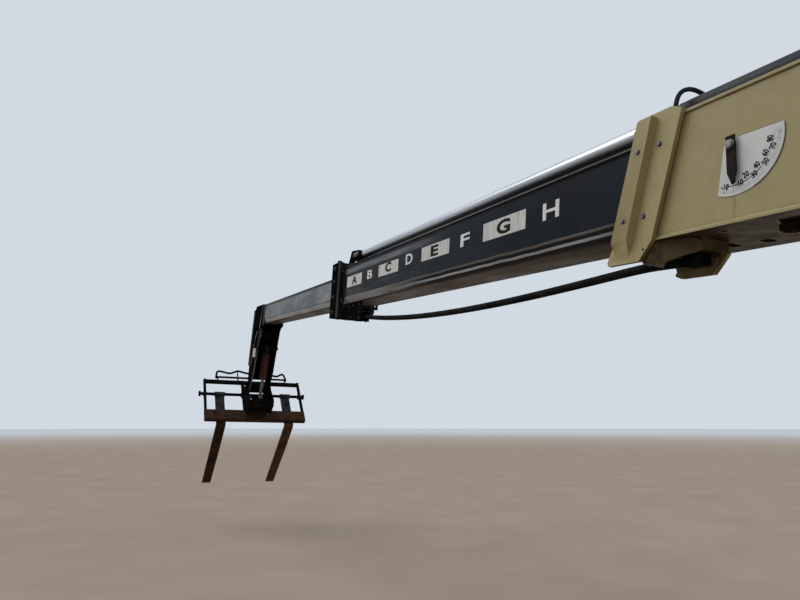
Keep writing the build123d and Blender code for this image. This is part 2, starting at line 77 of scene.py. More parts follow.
CAR_U = Vector((math.cos(TILT), 0, -math.sin(TILT)))
CAR_W = Vector((math.sin(TILT), 0, math.cos(TILT)))
EYE = tipped(-0.066, -0.256)
CYL_AXIS = (EYE - Vector((UPPER[0], 0, UPPER[1]))).normalized()
CYL_SIDE = Vector((0, 1, 0)).cross(CYL_AXIS).normalized()


def along(d, y=0.0, off=0.0):
    """A point beside the tilt cylinder, d down from its upper pin."""
    return Vector((UPPER[0], y, UPPER[1])) + CYL_AXIS * d + CYL_SIDE * off


# ------------------------------------------------------------------ materials
class Paint:
    """Builds one procedural material node by node, in the part's own coordinates."""

    def __init__(self, name, metallic=0.0, rough=0.5, specular=0.5):
        self.mat = bpy.data.materials.new(name)
        self.mat.use_nodes = True
        self.tree = self.mat.node_tree
        self.bsdf = self.tree.nodes["Principled BSDF"]
        self.bsdf.inputs["Metallic"].default_value = metallic
        self.bsdf.inputs["Roughness"].default_value = rough
        self.bsdf.inputs["Specular IOR Level"].default_value = specular
        tc = self.tree.nodes.new("ShaderNodeTexCoord")
        self.co = tc.outputs["Object"]
        self.nor = tc.outputs["Normal"]
        sep = self.tree.nodes.new("ShaderNodeSeparateXYZ")
        self.link(self.co, sep.inputs[0])
        self.x, self.y, self.z = sep.outputs
        sepn = self.tree.nodes.new("ShaderNodeSeparateXYZ")
        self.link(self.nor, sepn.inputs[0])
        self.nx, self.ny, self.nz = sepn.outputs

    def link(self, a, b):
        self.tree.links.new(a, b)

    def put(self, value, socket):
        if isinstance(value, (int, float)):
            socket.default_value = value
        elif isinstance(value, tuple):
            socket.default_value = value if len(value) == 4 else (*value, 1)
        else:
            self.link(value, socket)

    def noise(self, scale, detail=4.0, rough=0.55, stretch=(1, 1, 1), shift=(0, 0, 0), distortion=0.0):
        mp = self.tree.nodes.new("ShaderNodeMapping")
        mp.inputs["Scale"].default_value = stretch
        mp.inputs["Location"].default_value = shift
        self.link(self.co, mp.inputs["Vector"])
        n = self.tree.nodes.new("ShaderNodeTexNoise")
        n.inputs["Scale"].default_value = scale
        n.inputs["Detail"].default_value = detail
        n.inputs["Roughness"].default_value = rough
        n.inputs["Distortion"].default_value = distortion
        self.link(mp.outputs[0], n.inputs["Vector"])
        return n.outputs["Fac"]

    def ramp(self, fac, a, b, c=0.0, d=1.0, smooth=True):
        """fac from a..b mapped to c..d, clamped."""
        n = self.tree.nodes.new("ShaderNodeMapRange")
        n.interpolation_type = "SMOOTHSTEP" if smooth else "LINEAR"
        self.put(fac, n.inputs["Value"])
        n.inputs["From Min"].default_value = a
        n.inputs["From Max"].default_value = b
        n.inputs["To Min"].default_value = c
        n.inputs["To Max"].default_value = d
        return n.outputs["Result"]

    def calc(self, op, a, b=0.0):
        n = self.tree.nodes.new("ShaderNodeMath")
        n.operation = op
        self.put(a, n.inputs[0])
        self.put(b, n.inputs[1])
        return n.outputs[0]

    def times(self, *values):
        out = values[0]
        for v in values[1:]:
            out = self.calc("MULTIPLY", out, v)
        return out

    def band(self, value, a, b, soft):
        """1 between a and b, falling to 0 over soft on both sides."""
        up = self.ramp(value, a - soft, a)
        down = self.ramp(value, b, b + soft, 1.0, 0.0)
        return self.calc("MULTIPLY", up, down)

    def mix(self, fac, a, b):
        n = self.tree.nodes.new("ShaderNodeMix")
        n.data_type = "RGBA"
        self.put(fac, n.inputs["Factor"])
        self.put(a, n.inputs["A"])
        self.put(b, n.inputs["B"])
        return n.outputs["Result"]

    def color(self, value):
        self.put(value, self.bsdf.inputs["Base Color"])

    def rough(self, value):
        self.put(value, self.bsdf.inputs["Roughness"])

    def metal(self, value):
        self.put(value, self.bsdf.inputs["Metallic"])

    def bump(self, height, strength=0.2, distance=0.001):
        n = self.tree.nodes.new("ShaderNodeBump")
        n.inputs["Strength"].default_value = strength
        n.inputs["Distance"].default_value = distance
        self.link(height, n.inputs["Height"])
        self.link(n.outputs[0], self.bsdf.inputs["Normal"])


def tan_paint(name, lift=1.0, streaks=True, worn=0.0):
    p = Paint(name, rough=0.42, specular=0.22)
    broad = p.noise(1.1, 5, 0.6)
    fine = p.noise(26, 4, 0.6)
    base = p.mix(p.ramp(broad, 0.3, 0.7), (0.262 * lift, 0.216 * lift, 0.098 * lift),
                 (0.300 * lift, 0.250 * lift, 0.120 * lift))
    base = p.mix(p.ramp(fine, 0.35, 0.75, 0, 0.35), base, (0.228 * lift, 0.184 * lift, 0.082 * lift))
    # rain streaks run down the webs
    if streaks:
        run = p.noise(9, 3, 0.5, stretch=(1.6, 1, 0.14))
        run = p.times(p.ramp(run, 0.56, 0.74), p.ramp(p.noise(1.7, 2), 0.42, 0.62), 0.30)
        base = p.mix(run, base, (0.175, 0.142, 0.080))
    # dust and road dirt under it, with painted shade: the faces that look down turn dark brown
    under = p.ramp(p.nz, -0.25, -0.85)
    dirt = p.ramp(p.noise(3.4, 6, 0.65), 0.30, 0.62, 0.72, 1.0)
    brown = p.mix(p.ramp(p.noise(7, 5, 0.6), 0.35, 0.65), (0.030, 0.0175, 0.0080), (0.088, 0.060, 0.028))
    base = p.mix(p.times(under, dirt), base, brown)
    # small chips down to grey
    chip = p.ramp(p.noise(46, 6, 0.72), 0.745 - worn, 0.775 - worn)
    base = p.mix(p.times(chip, 0.75), base, (0.11, 0.09, 0.07))
    p.color(base)
    p.rough(p.ramp(p.noise(11, 4), 0.3, 0.7, 0.36, 0.55))
    p.bump(p.noise(340, 2, 0.5), 0.10, 0.0006)
    return p


def outer_tan():
    """The outer section: the tan paint with the dirt that sits at its dial, lips and openings, and painted shade along
    its lips, on its underside and in its openings.
    """
    p = tan_paint("tan_outer")
    base = p.bsdf.inputs["Base Color"].links[0].from_socket
    left = p.ramp(p.y, 0.19, 0.2)
    # the streak that runs down from the dial
    wob = p.calc("ADD", p.x, p.ramp(p.noise(14, 2, 0.5, stretch=(0, 0, 1)), 0.3, 0.7, -0.004, 0.004))
    streak = p.times(p.band(wob, 4.864, 4.872, 0.005), p.ramp(p.z, -0.060, -0.080), p.ramp(p.z, -0.175, -0.12, 0.45, 1.0), left)
    base = p.mix(p.times(streak, 0.34), base, (0.10, 0.085, 0.045))
    # dust and painted shade along the lips: a darker line under each lip
    line = p.calc("ADD", p.band(p.z, -0.164, -0.158, 0.012), p.band(p.z, 0.302, 0.312, 0.012))
    line = p.times(line, p.ramp(p.noise(6, 4, 0.6, stretch=(0.6, 1, 1)), 0.35, 0.7, 0.02, 0.28))
    base = p.mix(line, base, (0.155, 0.122, 0.068))
    # grime near the front underside, with painted shade: the faces that look down turn near black
    grime_and_shade = p.times(p.ramp(p.nz, -0.3, -0.8), p.ramp(p.noise(2.3, 5, 0.62, stretch=(0.5, 1.6, 1)), 0.42, 0.62))
    base = p.mix(p.times(grime_and_shade, 0.7), base, (0.024, 0.016, 0.010))
    # the deep dirt close behind the collar, with painted shade on the faces there that look down; and painted shade on
    # the cut walls of the openings
    close = p.times(p.ramp(p.x, 4.55, 5.00), p.ramp(p.nz, -0.3, -0.8), p.ramp(p.noise(3.1, 5, 0.6), 0.3, 0.6, 0.55, 0.95))
    base = p.mix(close, base, (0.021, 0.0105, 0.0050))
    wall = p.times(p.ramp(p.z, -0.1655, -0.1670), p.ramp(p.calc("ABSOLUTE", p.nz), 0.5, 0.3),
                   p.ramp(p.calc("ABSOLUTE", p.y), 0.2130, 0.2110))
    base = p.mix(p.times(wall, 0.9), base, (0.018, 0.010, 0.006))
    p.color(base)
    return p.mat


def guide_tan(name="tan_guide", k=1.0):
    """The carrier's guide: tan paint under dark oily road dirt, darkened further as painted shade; k scales its tone.
    """
    p = Paint(name, rough=0.6, specular=0.10)
    base = p.mix(p.ramp(p.noise(7, 6, 0.65), 0.3, 0.7), (0.034 * k, 0.0205 * k, 0.0105 * k), (0.092 * k, 0.064 * k, 0.032 * k))
    base = p.mix(p.times(p.ramp(p.noise(19, 5, 0.66), 0.50, 0.68), 0.6), base, (0.020, 0.012, 0.008))
    base = p.mix(p.times(p.ramp(p.noise(3.2, 4), 0.52, 0.66), 0.35), base, (0.150, 0.118, 0.058))
    p.color(base)
    p.rough(p.ramp(p.noise(16, 4), 0.3, 0.7, 0.45, 0.75))
    p.bump(p.noise(210, 3), 0.2, 0.0007)
    return p.mat


def tan_edge():
    p = Paint("tan_edge", rough=0.45, specular=0.25)
    # lighter tan on the chamfers, partly worn paint and partly a painted highlight on the edges
    base = p.mix(p.ramp(p.noise(20, 4, 0.6), 0.35, 0.65), (0.40, 0.345, 0.20), (0.50, 0.44, 0.28))
    base = p.mix(p.ramp(p.noise(60, 5, 0.7), 0.68, 0.74), base, (0.16, 0.10, 0.06))
    p.color(base)
    p.bump(p.noise(300, 2), 0.1, 0.0005)
    return p.mat


def black_paint(name, dust=0.30, scratch=0.35, tone=(0.0050, 0.0060, 0.0075), rough=(0.34, 0.52), gloss=0.10):
    p = Paint(name, specular=gloss)
    broad = p.noise(1.7, 5, 0.6)
    base = p.mix(p.ramp(broad, 0.3, 0.7), tone, tuple(c * 1.9 for c in tone))
    # thin dust film, thicker on what faces up
    film = p.times(p.ramp(p.noise(8, 6, 0.68), 0.35, 0.72), p.ramp(p.nz, -0.2, 0.9, 0.55, 1.25), dust)
    base = p.mix(film, base, (0.046, 0.043, 0.039))
    # scratches lie along the boom
    s = p.noise(5, 3, 0.5, stretch=(0.9, 26, 26))
    s = p.times(p.ramp(s, 0.66, 0.72), p.ramp(p.noise(1.9, 3), 0.42, 0.62), scratch)
    base = p.mix(s, base, (0.090, 0.088, 0.086))
    under = p.times(p.ramp(p.nz, -0.3, -0.85), p.ramp(p.noise(4, 5, 0.6), 0.3, 0.65, 0.35, 0.9))
    base = p.mix(under, base, (0.018, 0.014, 0.011))
    p.color(base)
    p.rough(p.ramp(p.noise(10, 5, 0.6), 0.3, 0.7, rough[0], rough[1]))
    p.bump(p.noise(320, 2), 0.08, 0.0005)
    return p


def black_edge():
    p = Paint("black_edge", rough=0.42, specular=0.2)
    # light grey on the chamfers, partly worn paint and partly a painted highlight on the edges
    base = p.mix(p.ramp(p.noise(24, 5, 0.65), 0.42, 0.6), (0.020, 0.021, 0.023), (0.13, 0.13, 0.128))
    base = p.mix(p.ramp(p.noise(70, 4, 0.7), 0.66, 0.72), base, (0.15, 0.085, 0.05))
    p.color(base)
    p.bump(p.noise(300, 2), 0.1, 0.0005)
    return p.mat


def second_black():
    """The second section: black enamel, polished and scuffed where pads and hoses rub, with painted light on its fold
    and painted shade on its lip's edge.
    """
    p = black_paint("black_second", dust=0.10, scratch=0.24, tone=(0.0036, 0.0052, 0.0078), rough=(0.40, 0.55), gloss=0.06)
    base = p.bsdf.inputs["Base Color"].links[0].from_socket
    web = p.ramp(p.calc("ABSOLUTE", p.ny), 0.75, 0.95)
    # grey scuffed strip along the top of the web, from the letters forward
    grain = p.noise(5, 5, 0.62, stretch=(0.5, 1, 14))
    strip = p.times(p.band(p.z, 0.188, 0.222, 0.016), p.ramp(p.x, 7.0, 7.9), p.ramp(grain, 0.26, 0.56), web)
    base = p.mix(p.times(strip, 0.85), base, (0.150, 0.155, 0.160))
    # faint grey rubbing over the middle of the web, toward the front
    rub = p.times(p.ramp(p.noise(2.6, 5, 0.65, stretch=(0.35, 1, 3)), 0.42, 0.70), p.ramp(p.x, 6.0, 9.0), web, 0.42)
    base = p.mix(rub, base, (0.060, 0.062, 0.066))
    # the fold: rubbed grey, lifted as painted light for the light the ground throws up on it, with a painted highlight
    # line where it ends
    wobble = p.ramp(p.noise(2.2, 3, 0.5, stretch=(1, 0, 0)), 0.3, 0.7, -0.003, 0.003)
    z = p.calc("ADD", p.z, wobble)
    streaky = p.ramp(p.noise(4, 4, 0.6, stretch=(0.7, 4, 16)), 0.25, 0.6, 0.45, 1.0)
    fore = p.ramp(p.x, 7.30, 8.30)
    aft = p.calc("SUBTRACT", 1.0, fore)
    broad = p.times(p.band(p.z, -0.107, -0.055, 0.006), fore, streaky)
    top_line = p.times(p.band(z, -0.060, -0.050, 0.003), aft, streaky, 0.7)
    bright = p.times(p.band(z, -0.090, -0.080, 0.003), aft, p.ramp(p.noise(3, 3, 0.5, stretch=(0.8, 1, 1)), 0.3, 0.6, 0.6, 1.0))
    folded = p.times(p.ramp(p.calc("ABSOLUTE", p.ny), 0.93, 0.88), p.ramp(p.calc("ABSOLUTE", p.ny), 0.30, 0.45))
    base = p.mix(p.times(folded, 0.55), base, (0.020, 0.021, 0.022))
    base = p.mix(p.times(broad, 0.90), base, (0.300, 0.305, 0.310))
    base = p.mix(top_line, base, (0.190, 0.170, 0.150))
    base = p.mix(bright, base, (0.400, 0.420, 0.440))
    hem = p.times(p.band(p.z, -0.1135, -0.1075, 0.003), 0.8)
    base = p.mix(hem, base, (0.010, 0.010, 0.010))
    # brown-grey road dirt on the underside, drawn out along the boom
    belly = p.times(p.ramp(p.z, -0.104, -0.114), p.ramp(p.nz, -0.4, -0.9))
    brown = p.mix(p.ramp(p.noise(3.2, 6, 0.62, stretch=(0.25, 3, 1)), 0.3, 0.7), (0.020, 0.0155, 0.0115), (0.098, 0.076, 0.056))
    base = p.mix(p.times(belly, 0.92), base, brown)
    # painted shade: the lip's edge stays dark
    rim = p.times(p.ramp(p.z, 0.2560, 0.2585), p.ramp(p.calc("ABSOLUTE", p.ny), 0.4, 0.6))
    base = p.mix(p.times(rim, 0.9), base, (0.0030, 0.0032, 0.0036))
    p.color(base)
    p.rough(p.ramp(p.noise(6, 5, 0.6, stretch=(0.4, 1, 6)), 0.3, 0.7, 0.34, 0.52))
    return p.mat


def third_scuffed():
    """The third section: black enamel worn to blotchy grey, dark lip, brown underside."""
    p = Paint("scuffed_third", rough=0.5, specular=0.2)
    blotch = p.noise(3.4, 7, 0.68, stretch=(0.55, 1, 1.5), distortion=0.6)
    smear = p.noise(4.5, 5, 0.62, stretch=(0.22, 1, 5))
    grey = p.mix(p.ramp(blotch, 0.34, 0.66), (0.040, 0.044, 0.050), (0.205, 0.213, 0.216))
    grey = p.mix(p.times(p.ramp(smear, 0.52, 0.72), 0.6), grey, (0.024, 0.026, 0.030))
    fine = p.noise(22, 6, 0.7)
    grey = p.mix(p.times(p.ramp(fine, 0.52, 0.72), 0.5), grey, (0.26, 0.26, 0.255))
    # dark lip and top of the web
    top = p.ramp(p.z, 0.150, 0.176)
    grey = p.mix(p.times(top, 0.90), grey, (0.010, 0.011, 0.012))
    # light band on the fold
    folded = p.times(p.ramp(p.calc("ABSOLUTE", p.ny), 0.93, 0.88), p.ramp(p.calc("ABSOLUTE", p.ny), 0.30, 0.45))
    fold = p.times(folded, p.ramp(p.noise(4, 4, 0.6, stretch=(0.6, 3, 10)), 0.25, 0.6, 0.45, 1.0))
    grey = p.mix(p.times(fold, 0.92), grey, (0.400, 0.398, 0.385))
    hem = p.times(p.band(p.z, -0.1000, -0.0930, 0.003), 0.8)
    grey = p.mix(hem, grey, (0.014, 0.013, 0.012))
    crease = p.times(p.band(p.z, -0.042, -0.028, 0.005), p.ramp(p.noise(3, 3, 0.5, stretch=(0.8, 1, 1)), 0.3, 0.6, 0.3, 1.0))
    grey = p.mix(p.times(crease, 0.7), grey, (0.022, 0.023, 0.025))
    belly = p.ramp(p.nz, -0.5, -0.92)
    brown = p.mix(p.ramp(p.noise(3.6, 7, 0.66, stretch=(0.4, 2, 1)), 0.32, 0.68), (0.018, 0.0145, 0.0110), (0.098, 0.080, 0.062))
    grey = p.mix(p.times(belly, 0.9), grey, brown)
    up = p.ramp(p.nz, 0.5, 0.92)
    grey = p.mix(p.times(up, 0.75), grey, (0.034, 0.034, 0.034))
    p.color(grey)
    p.rough(p.ramp(blotch, 0.3, 0.7, 0.36, 0.62))
    p.bump(p.noise(120, 5, 0.65), 0.12, 0.0008)
    return p.mat


def rusty(name, dark=1.0, polish=0.0):
    p = Paint(name, rough=0.8, specular=0.1)
    broad = p.noise(5, 7, 0.68, distortion=0.4)
    fine = p.noise(38, 6, 0.7)
    base = p.mix(p.ramp(broad, 0.32, 0.66), (0.024 * dark, 0.014 * dark, 0.009 * dark),
                 (0.100 * dark, 0.044 * dark, 0.019 * dark))
    base = p.mix(p.times(p.ramp(fine, 0.52, 0.72), 0.65), base, (0.170 * dark, 0.072 * dark, 0.028 * dark))
    base = p.mix(p.times(p.ramp(p.noise(12, 5, 0.65), 0.58, 0.72), 0.7), base, (0.012, 0.009, 0.007))
    if polish:
        wear = p.times(p.ramp(p.noise(3.1, 5, 0.6), 0.50, 0.66), polish)
        base = p.mix(wear, base, (0.075, 0.062, 0.052))
    p.color(base)
    p.rough(p.ramp(fine, 0.3, 0.7, 0.62, 0.92))
    p.bump(p.calc("ADD", fine, p.noise(150, 4, 0.7)), 0.45, 0.0014)
    return p.mat


def fork_steel(name, dark):
    """Fork: dark grey enamel at the shank's top, brown rust down the shank and along the blade."""
    p = Paint(name, rough=0.75, specular=0.1)
    # height along the carriage's own up direction, about the pivot
    w = p.calc("ADD", p.times(p.calc("SUBTRACT", p.x, PIN[0]), math.sin(TILT)),
               p.times(p.calc("SUBTRACT", p.z, PIN[1]), math.cos(TILT)))
    broad = p.noise(6, 7, 0.68, distortion=0.5)
    fine = p.noise(42, 6, 0.7)
    rust = p.mix(p.ramp(broad, 0.32, 0.66), (0.020 * dark, 0.011 * dark, 0.006 * dark), (0.090 * dark, 0.042 * dark, 0.016 * dark))
    rust = p.mix(p.times(p.ramp(fine, 0.52, 0.72), 0.65), rust, (0.160 * dark, 0.074 * dark, 0.026 * dark))
    rust = p.mix(p.times(p.ramp(p.noise(9, 5, 0.66), 0.54, 0.68), 0.75), rust, (0.011, 0.008, 0.006))
    grey = p.mix(p.ramp(p.noise(7, 6, 0.65), 0.35, 0.65), (0.012, 0.012, 0.013), (0.040, 0.039, 0.038))
    rag = p.calc("ADD", w, p.ramp(p.noise(11, 4), 0.3, 0.7, -0.05, 0.05))
    base = p.mix(p.ramp(rag, -0.30, -0.20), rust, grey)
    p.color(base)
    p.rough(p.ramp(fine, 0.3, 0.7, 0.55, 0.9))
    p.bump(p.calc("ADD", fine, p.noise(160, 4, 0.7)), 0.4, 0.0012)
    return p.mat


def head_black():
    """The head: deep black enamel, its rear edge on the left lighter grey."""
    p = Paint("head_black", specular=0.0)
    base = p.mix(p.ramp(p.noise(2.1, 5, 0.6), 0.3, 0.7), (0.0016, 0.0019, 0.0022), (0.0042, 0.0048, 0.0054))
    film = p.times(p.ramp(p.noise(8, 6, 0.68), 0.35, 0.72), p.ramp(p.nz, -0.2, 0.9, 0.25, 1.25), 0.16)
    base = p.mix(film, base, (0.046, 0.043, 0.039))
    rear = p.times(p.ramp(p.nx, -0.5, -0.8), p.ramp(p.y, 0.130, 0.140), p.ramp(p.noise(6, 5, 0.6, stretch=(1, 1, 0.3)), 0.3, 0.6, 0.45, 1.0))
    base = p.mix(p.times(rear, 0.85), base, (0.150, 0.152, 0.155))
    p.color(base)
    p.rough(p.ramp(p.noise(10, 5, 0.6), 0.3, 0.7, 0.40, 0.60))
    p.bump(p.noise(320, 2), 0.08, 0.0005)
    return p.mat


def collar_black():
    """The second collar: black enamel, rubbed and dusty on the sides that face back, which are lightened as painted
    light as well.
    """
    p = black_paint("black_collar", dust=0.10, scratch=0.25, tone=(0.0020, 0.0024, 0.0030), rough=(0.50, 0.66), gloss=0.0)
    base = p.bsdf.inputs["Base Color"].links[0].from_socket
    # rear faces: rubbing and dust, and painted light
    back = p.times(p.ramp(p.nx, -0.5, -0.8), p.ramp(p.noise(5, 6, 0.65), 0.3, 0.62, 0.35, 1.0))
    base = p.mix(p.times(back, 0.50), base, (0.060, 0.062, 0.064))
    # painted highlight on the frame's rear face at its outer edge, partly rubbed to grey
    edge = p.times(p.ramp(p.nx, -0.5, -0.8), p.ramp(p.y, 0.190, 0.196), p.ramp(p.x, 9.300, 9.320),
                   p.ramp(p.noise(7, 5, 0.6, stretch=(1, 1, 0.3)), 0.3, 0.6, 0.4, 1.0))
    base = p.mix(p.times(edge, 0.8), base, (0.160, 0.165, 0.170))
    p.color(base)
    return p.mat


def grey_edge_strip():
    """Light grey strip along an edge of the head."""
    p = Paint("grey_edge_strip", rough=0.6, specular=0.2)
    base = p.mix(p.ramp(p.noise(12, 6, 0.66, stretch=(1, 1, 0.4)), 0.35, 0.62), (0.045, 0.047, 0.050), (0.210, 0.212, 0.215))
    p.color(base)
    p.bump(p.noise(90, 4), 0.2, 0.0006)
    return p.mat


def dull_rod():
    """A rod under old grease and dust, darkened as painted shade where it sits in shadow."""
    p = Paint("rod_dull", metallic=0.55, rough=0.45)
    base = p.mix(p.ramp(p.noise(7, 5, 0.6), 0.3, 0.7), (0.110, 0.102, 0.080), (0.260, 0.245, 0.200))
    base = p.mix(p.times(p.ramp(p.noise(22, 5, 0.68), 0.50, 0.68), 0.8), base, (0.016, 0.012, 0.009))
    p.color(base)
    p.rough(p.ramp(p.noise(18, 4), 0.3, 0.7, 0.35, 0.62))
    p.bump(p.noise(140, 3), 0.12, 0.0005)
    return p.mat


def chrome():
    p = Paint("rod_chrome", metallic=1.0, rough=0.12)
    p.color(p.mix(p.ramp(p.noise(3, 3, 0.5, stretch=(0.3, 1, 1)), 0.3, 0.7), (0.38, 0.395, 0.415), (0.48, 0.49, 0.51)))
    p.rough(p.ramp(p.noise(9, 4, 0.6, stretch=(0.2, 3, 3)), 0.3, 0.75, 0.24, 0.38))
    p.bump(p.noise(90, 3, 0.6, stretch=(0.1, 4, 4)), 0.03, 0.0003)
    return p.mat


def zinc(name="zinc_steel", tone=1.0):
    p = Paint(name, metallic=0.85, rough=0.45)
    base = p.mix(p.ramp(p.noise(60, 5, 0.65), 0.35, 0.65), (0.20 * tone, 0.195 * tone, 0.185 * tone),
                 (0.40 * tone, 0.39 * tone, 0.37 * tone))
    base = p.mix(p.times(p.ramp(p.noise(85, 4, 0.7), 0.57, 0.68), 0.8), base, (0.15, 0.085, 0.048))
    p.color(base)
    p.rough(p.ramp(p.noise(70, 4), 0.3, 0.7, 0.35, 0.6))
    p.bump(p.noise(260, 3), 0.15, 0.0004)
    return p.mat


def red_paint():
    p = Paint("red_paint", rough=0.5, specular=0.15)
    base = p.mix(p.ramp(p.noise(5, 5, 0.6), 0.3, 0.7), (0.050, 0.0045, 0.0045), (0.090, 0.0080, 0.0070))
    base = p.mix(p.times(p.ramp(p.noise(14, 6, 0.68), 0.42, 0.66), 0.75), base, (0.014, 0.006, 0.005))
    # the upper end is black with oil
    d = p.calc("ADD", p.times(p.calc("SUBTRACT", p.x, UPPER[0]), CYL_AXIS.x), p.times(p.calc("SUBTRACT", p.z, UPPER[1]), CYL_AXIS.z))
    d = p.calc("ADD", d, p.ramp(p.noise(16, 4), 0.3, 0.7, -0.02, 0.02))
    base = p.mix(p.ramp(d, 0.145, 0.115), base, (0.0045, 0.0040, 0.0040))
    p.color(base)
    p.rough(p.ramp(p.noise(18, 4), 0.3, 0.7, 0.40, 0.7))
    p.bump(p.noise(220, 3), 0.15, 0.0006)
    return p.mat


def hose_rubber(name="hose_rubber", tone=1.0):
    p = Paint(name, rough=0.6, specular=0.03)
    base = p.mix(p.ramp(p.noise(12, 6, 0.65), 0.35, 0.7), (0.0040 * tone, 0.0062 * tone, 0.0068 * tone),
                 (0.016 * tone, 0.0155 * tone, 0.0150 * tone))
    p.color(base)
    p.rough(p.ramp(p.noise(30, 4), 0.3, 0.7, 0.48, 0.75))
    p.bump(p.noise(420, 3, 0.6), 0.25, 0.0006)
    return p.mat


def dial_white():
    p = Paint("dial_white", rough=0.38)
    base = p.mix(p.ramp(p.noise(7, 5, 0.6), 0.3, 0.7), (0.40, 0.40, 0.385), (0.50, 0.50, 0.485))
    base = p.mix(p.times(p.ramp(p.noise(38, 5, 0.7), 0.58, 0.72), 0.4), base, (0.34, 0.32, 0.27))
    # weather has yellowed it in scattered patches
    base = p.mix(p.times(p.ramp(p.noise(3.2, 3), 0.4, 0.6), 0.3), base, (0.44, 0.43, 0.37))
    p.color(base)
    p.bump(p.noise(200, 2), 0.05, 0.0003)
    return p.mat


def decal(name, a, b, grain=0.25, rough=0.45, gloss=0.3):
    """A printed film: two near tones, fine upright grain, small dirt."""
    p = Paint(name, rough=rough, specular=gloss)
    base = p.mix(p.ramp(p.noise(14, 4, 0.6, stretch=(3, 1, 0.5)), 0.3, 0.7), a, b)
    dark = tuple(c * 0.55 for c in a)
    base = p.mix(p.times(p.ramp(p.noise(30, 5, 0.65, stretch=(2.4, 1, 0.35)), 0.52, 0.70), grain), base, dark)
    p.color(base)
    p.rough(p.ramp(p.noise(25, 3), 0.3, 0.7, rough - 0.06, rough + 0.12))
    p.bump(p.noise(150, 3), 0.08, 0.0003)
    return p.mat


def pad_plastic():
    p = Paint("pad_plastic", rough=0.55)
    base = p.mix(p.ramp(p.noise(9, 5, 0.6), 0.3, 0.7), (0.028, 0.030, 0.029), (0.085, 0.083, 0.076))
    p.color(base)
    p.bump(p.noise(120, 4), 0.2, 0.0006)
    return p.mat


def grease():
    p = Paint("grease_dark", rough=0.3, specular=0.6)
    p.color(p.mix(p.ramp(p.noise(20, 5, 0.6), 0.3, 0.7), (0.012, 0.010, 0.008), (0.050, 0.038, 0.026)))
    p.bump(p.noise(60, 4), 0.5, 0.002)
    return p.mat


M = {
    "outer": outer_tan(), "tan": tan_paint("tan_paint", 1.08).mat, "tan_edge": tan_edge(),
    "tan_plain": tan_paint("tan_plain", 1.0, streaks=False).mat,
    "black": black_paint("black_paint").mat,
    "black_dusty": black_paint("black_dusty", dust=0.55, scratch=0.5, rough=(0.38, 0.62)).mat,
    "black_gloss": black_paint("black_gloss", dust=0.10, scratch=0.12, tone=(0.0032, 0.0036, 0.0042), rough=(0.32, 0.46)).mat,
    # guide and foot are lit and shaded copies of one paint: the guide darker as painted shade, the foot at twice its
    # tone
    "guide": guide_tan(), "foot": guide_tan("tan_guide_foot", 2.0), "head": head_black(), "deep": black_paint("black_deep", dust=0.14, scratch=0.30, tone=(0.0022, 0.0025, 0.0028), rough=(0.50, 0.66), gloss=0.0).mat,
    "deep_edge": black_paint("deep_edge", dust=0.5, scratch=0.6, tone=(0.008, 0.009, 0.010), gloss=0.02).mat,
    "collar_2": collar_black(), "rod_dull": dull_rod(),
    "bolt_dull": zinc("bolt_dull", 0.42), "bolt_dark": zinc("bolt_dark", 0.16),
    # fork_dark: the fork's paint at 0.48 tone for the left fork, a shaded copy as painted shade
    "strip": grey_edge_strip(), "fork_dark": fork_steel("fork_dark", 0.48),
    "black_edge": black_edge(), "second": second_black(), "third": third_scuffed(),
    # the lower bar's rust at 0.55 tone, darkened as painted shade
    "rust": rusty("rust_bar", 0.55, 0.25), "fork": fork_steel("fork_steel", 1.0), "chrome": chrome(),
    "zinc": zinc(), "dark_steel": zinc("dark_steel", 0.5), "red": red_paint(),
    "hose": hose_rubber(), "hose_grey": hose_rubber("hose_grey", 2.6),
    "dial": dial_white(), "pad": pad_plastic(), "grease": grease(),
    "ink": decal("ink_black", (0.0085, 0.0070, 0.0055), (0.017, 0.014, 0.011), 0.1, 0.6, 0.05),
    "ink_grey": decal("ink_grey", (0.16, 0.17, 0.18), (0.22, 0.23, 0.24), 0.1),
    "plate": decal("letter_plate", (0.40, 0.395, 0.36), (0.52, 0.515, 0.48), 0.5),
    "letter": decal("letter_white", (0.50, 0.50, 0.48), (0.64, 0.64, 0.62), 0.3),
    "head_edge": black_paint("head_edge", dust=0.4, scratch=0.5, tone=(0.008, 0.009, 0.010), gloss=0.02).mat,
    "label": decal("label_white", (0.52, 0.51, 0.48), (0.66, 0.65, 0.62), 0.3),
    "label_beige": decal("label_beige", (0.36, 0.33, 0.22), (0.46, 0.43, 0.31), 0.4),
}

# ------------------------------------------------------- carried-over CAD nodes


def weld_group():
    """Joins the split corners of an imported mesh, so that its edges can be broken."""
    g = bpy.data.node_groups.new("join_corners", "GeometryNodeTree")
    g.interface.new_socket("Geometry", in_out="INPUT", socket_type="NodeSocketGeometry")
    g.interface.new_socket("Geometry", in_out="OUTPUT", socket_type="NodeSocketGeometry")
    a = g.nodes.new("NodeGroupInput")
    z = g.nodes.new("NodeGroupOutput")
    rem = g.nodes.new("GeometryNodeRemoveAttribute")
    rem.inputs["Name"].default_value = "custom_normal"
    mer = g.nodes.new("GeometryNodeMergeByDistance")
    mer.inputs["Distance"].default_value = 0.00002
    g.links.new(a.outputs[0], rem.inputs["Geometry"])
    g.links.new(rem.outputs[0], mer.inputs["Geometry"])
    g.links.new(mer.outputs[0], z.inputs[0])
    return g


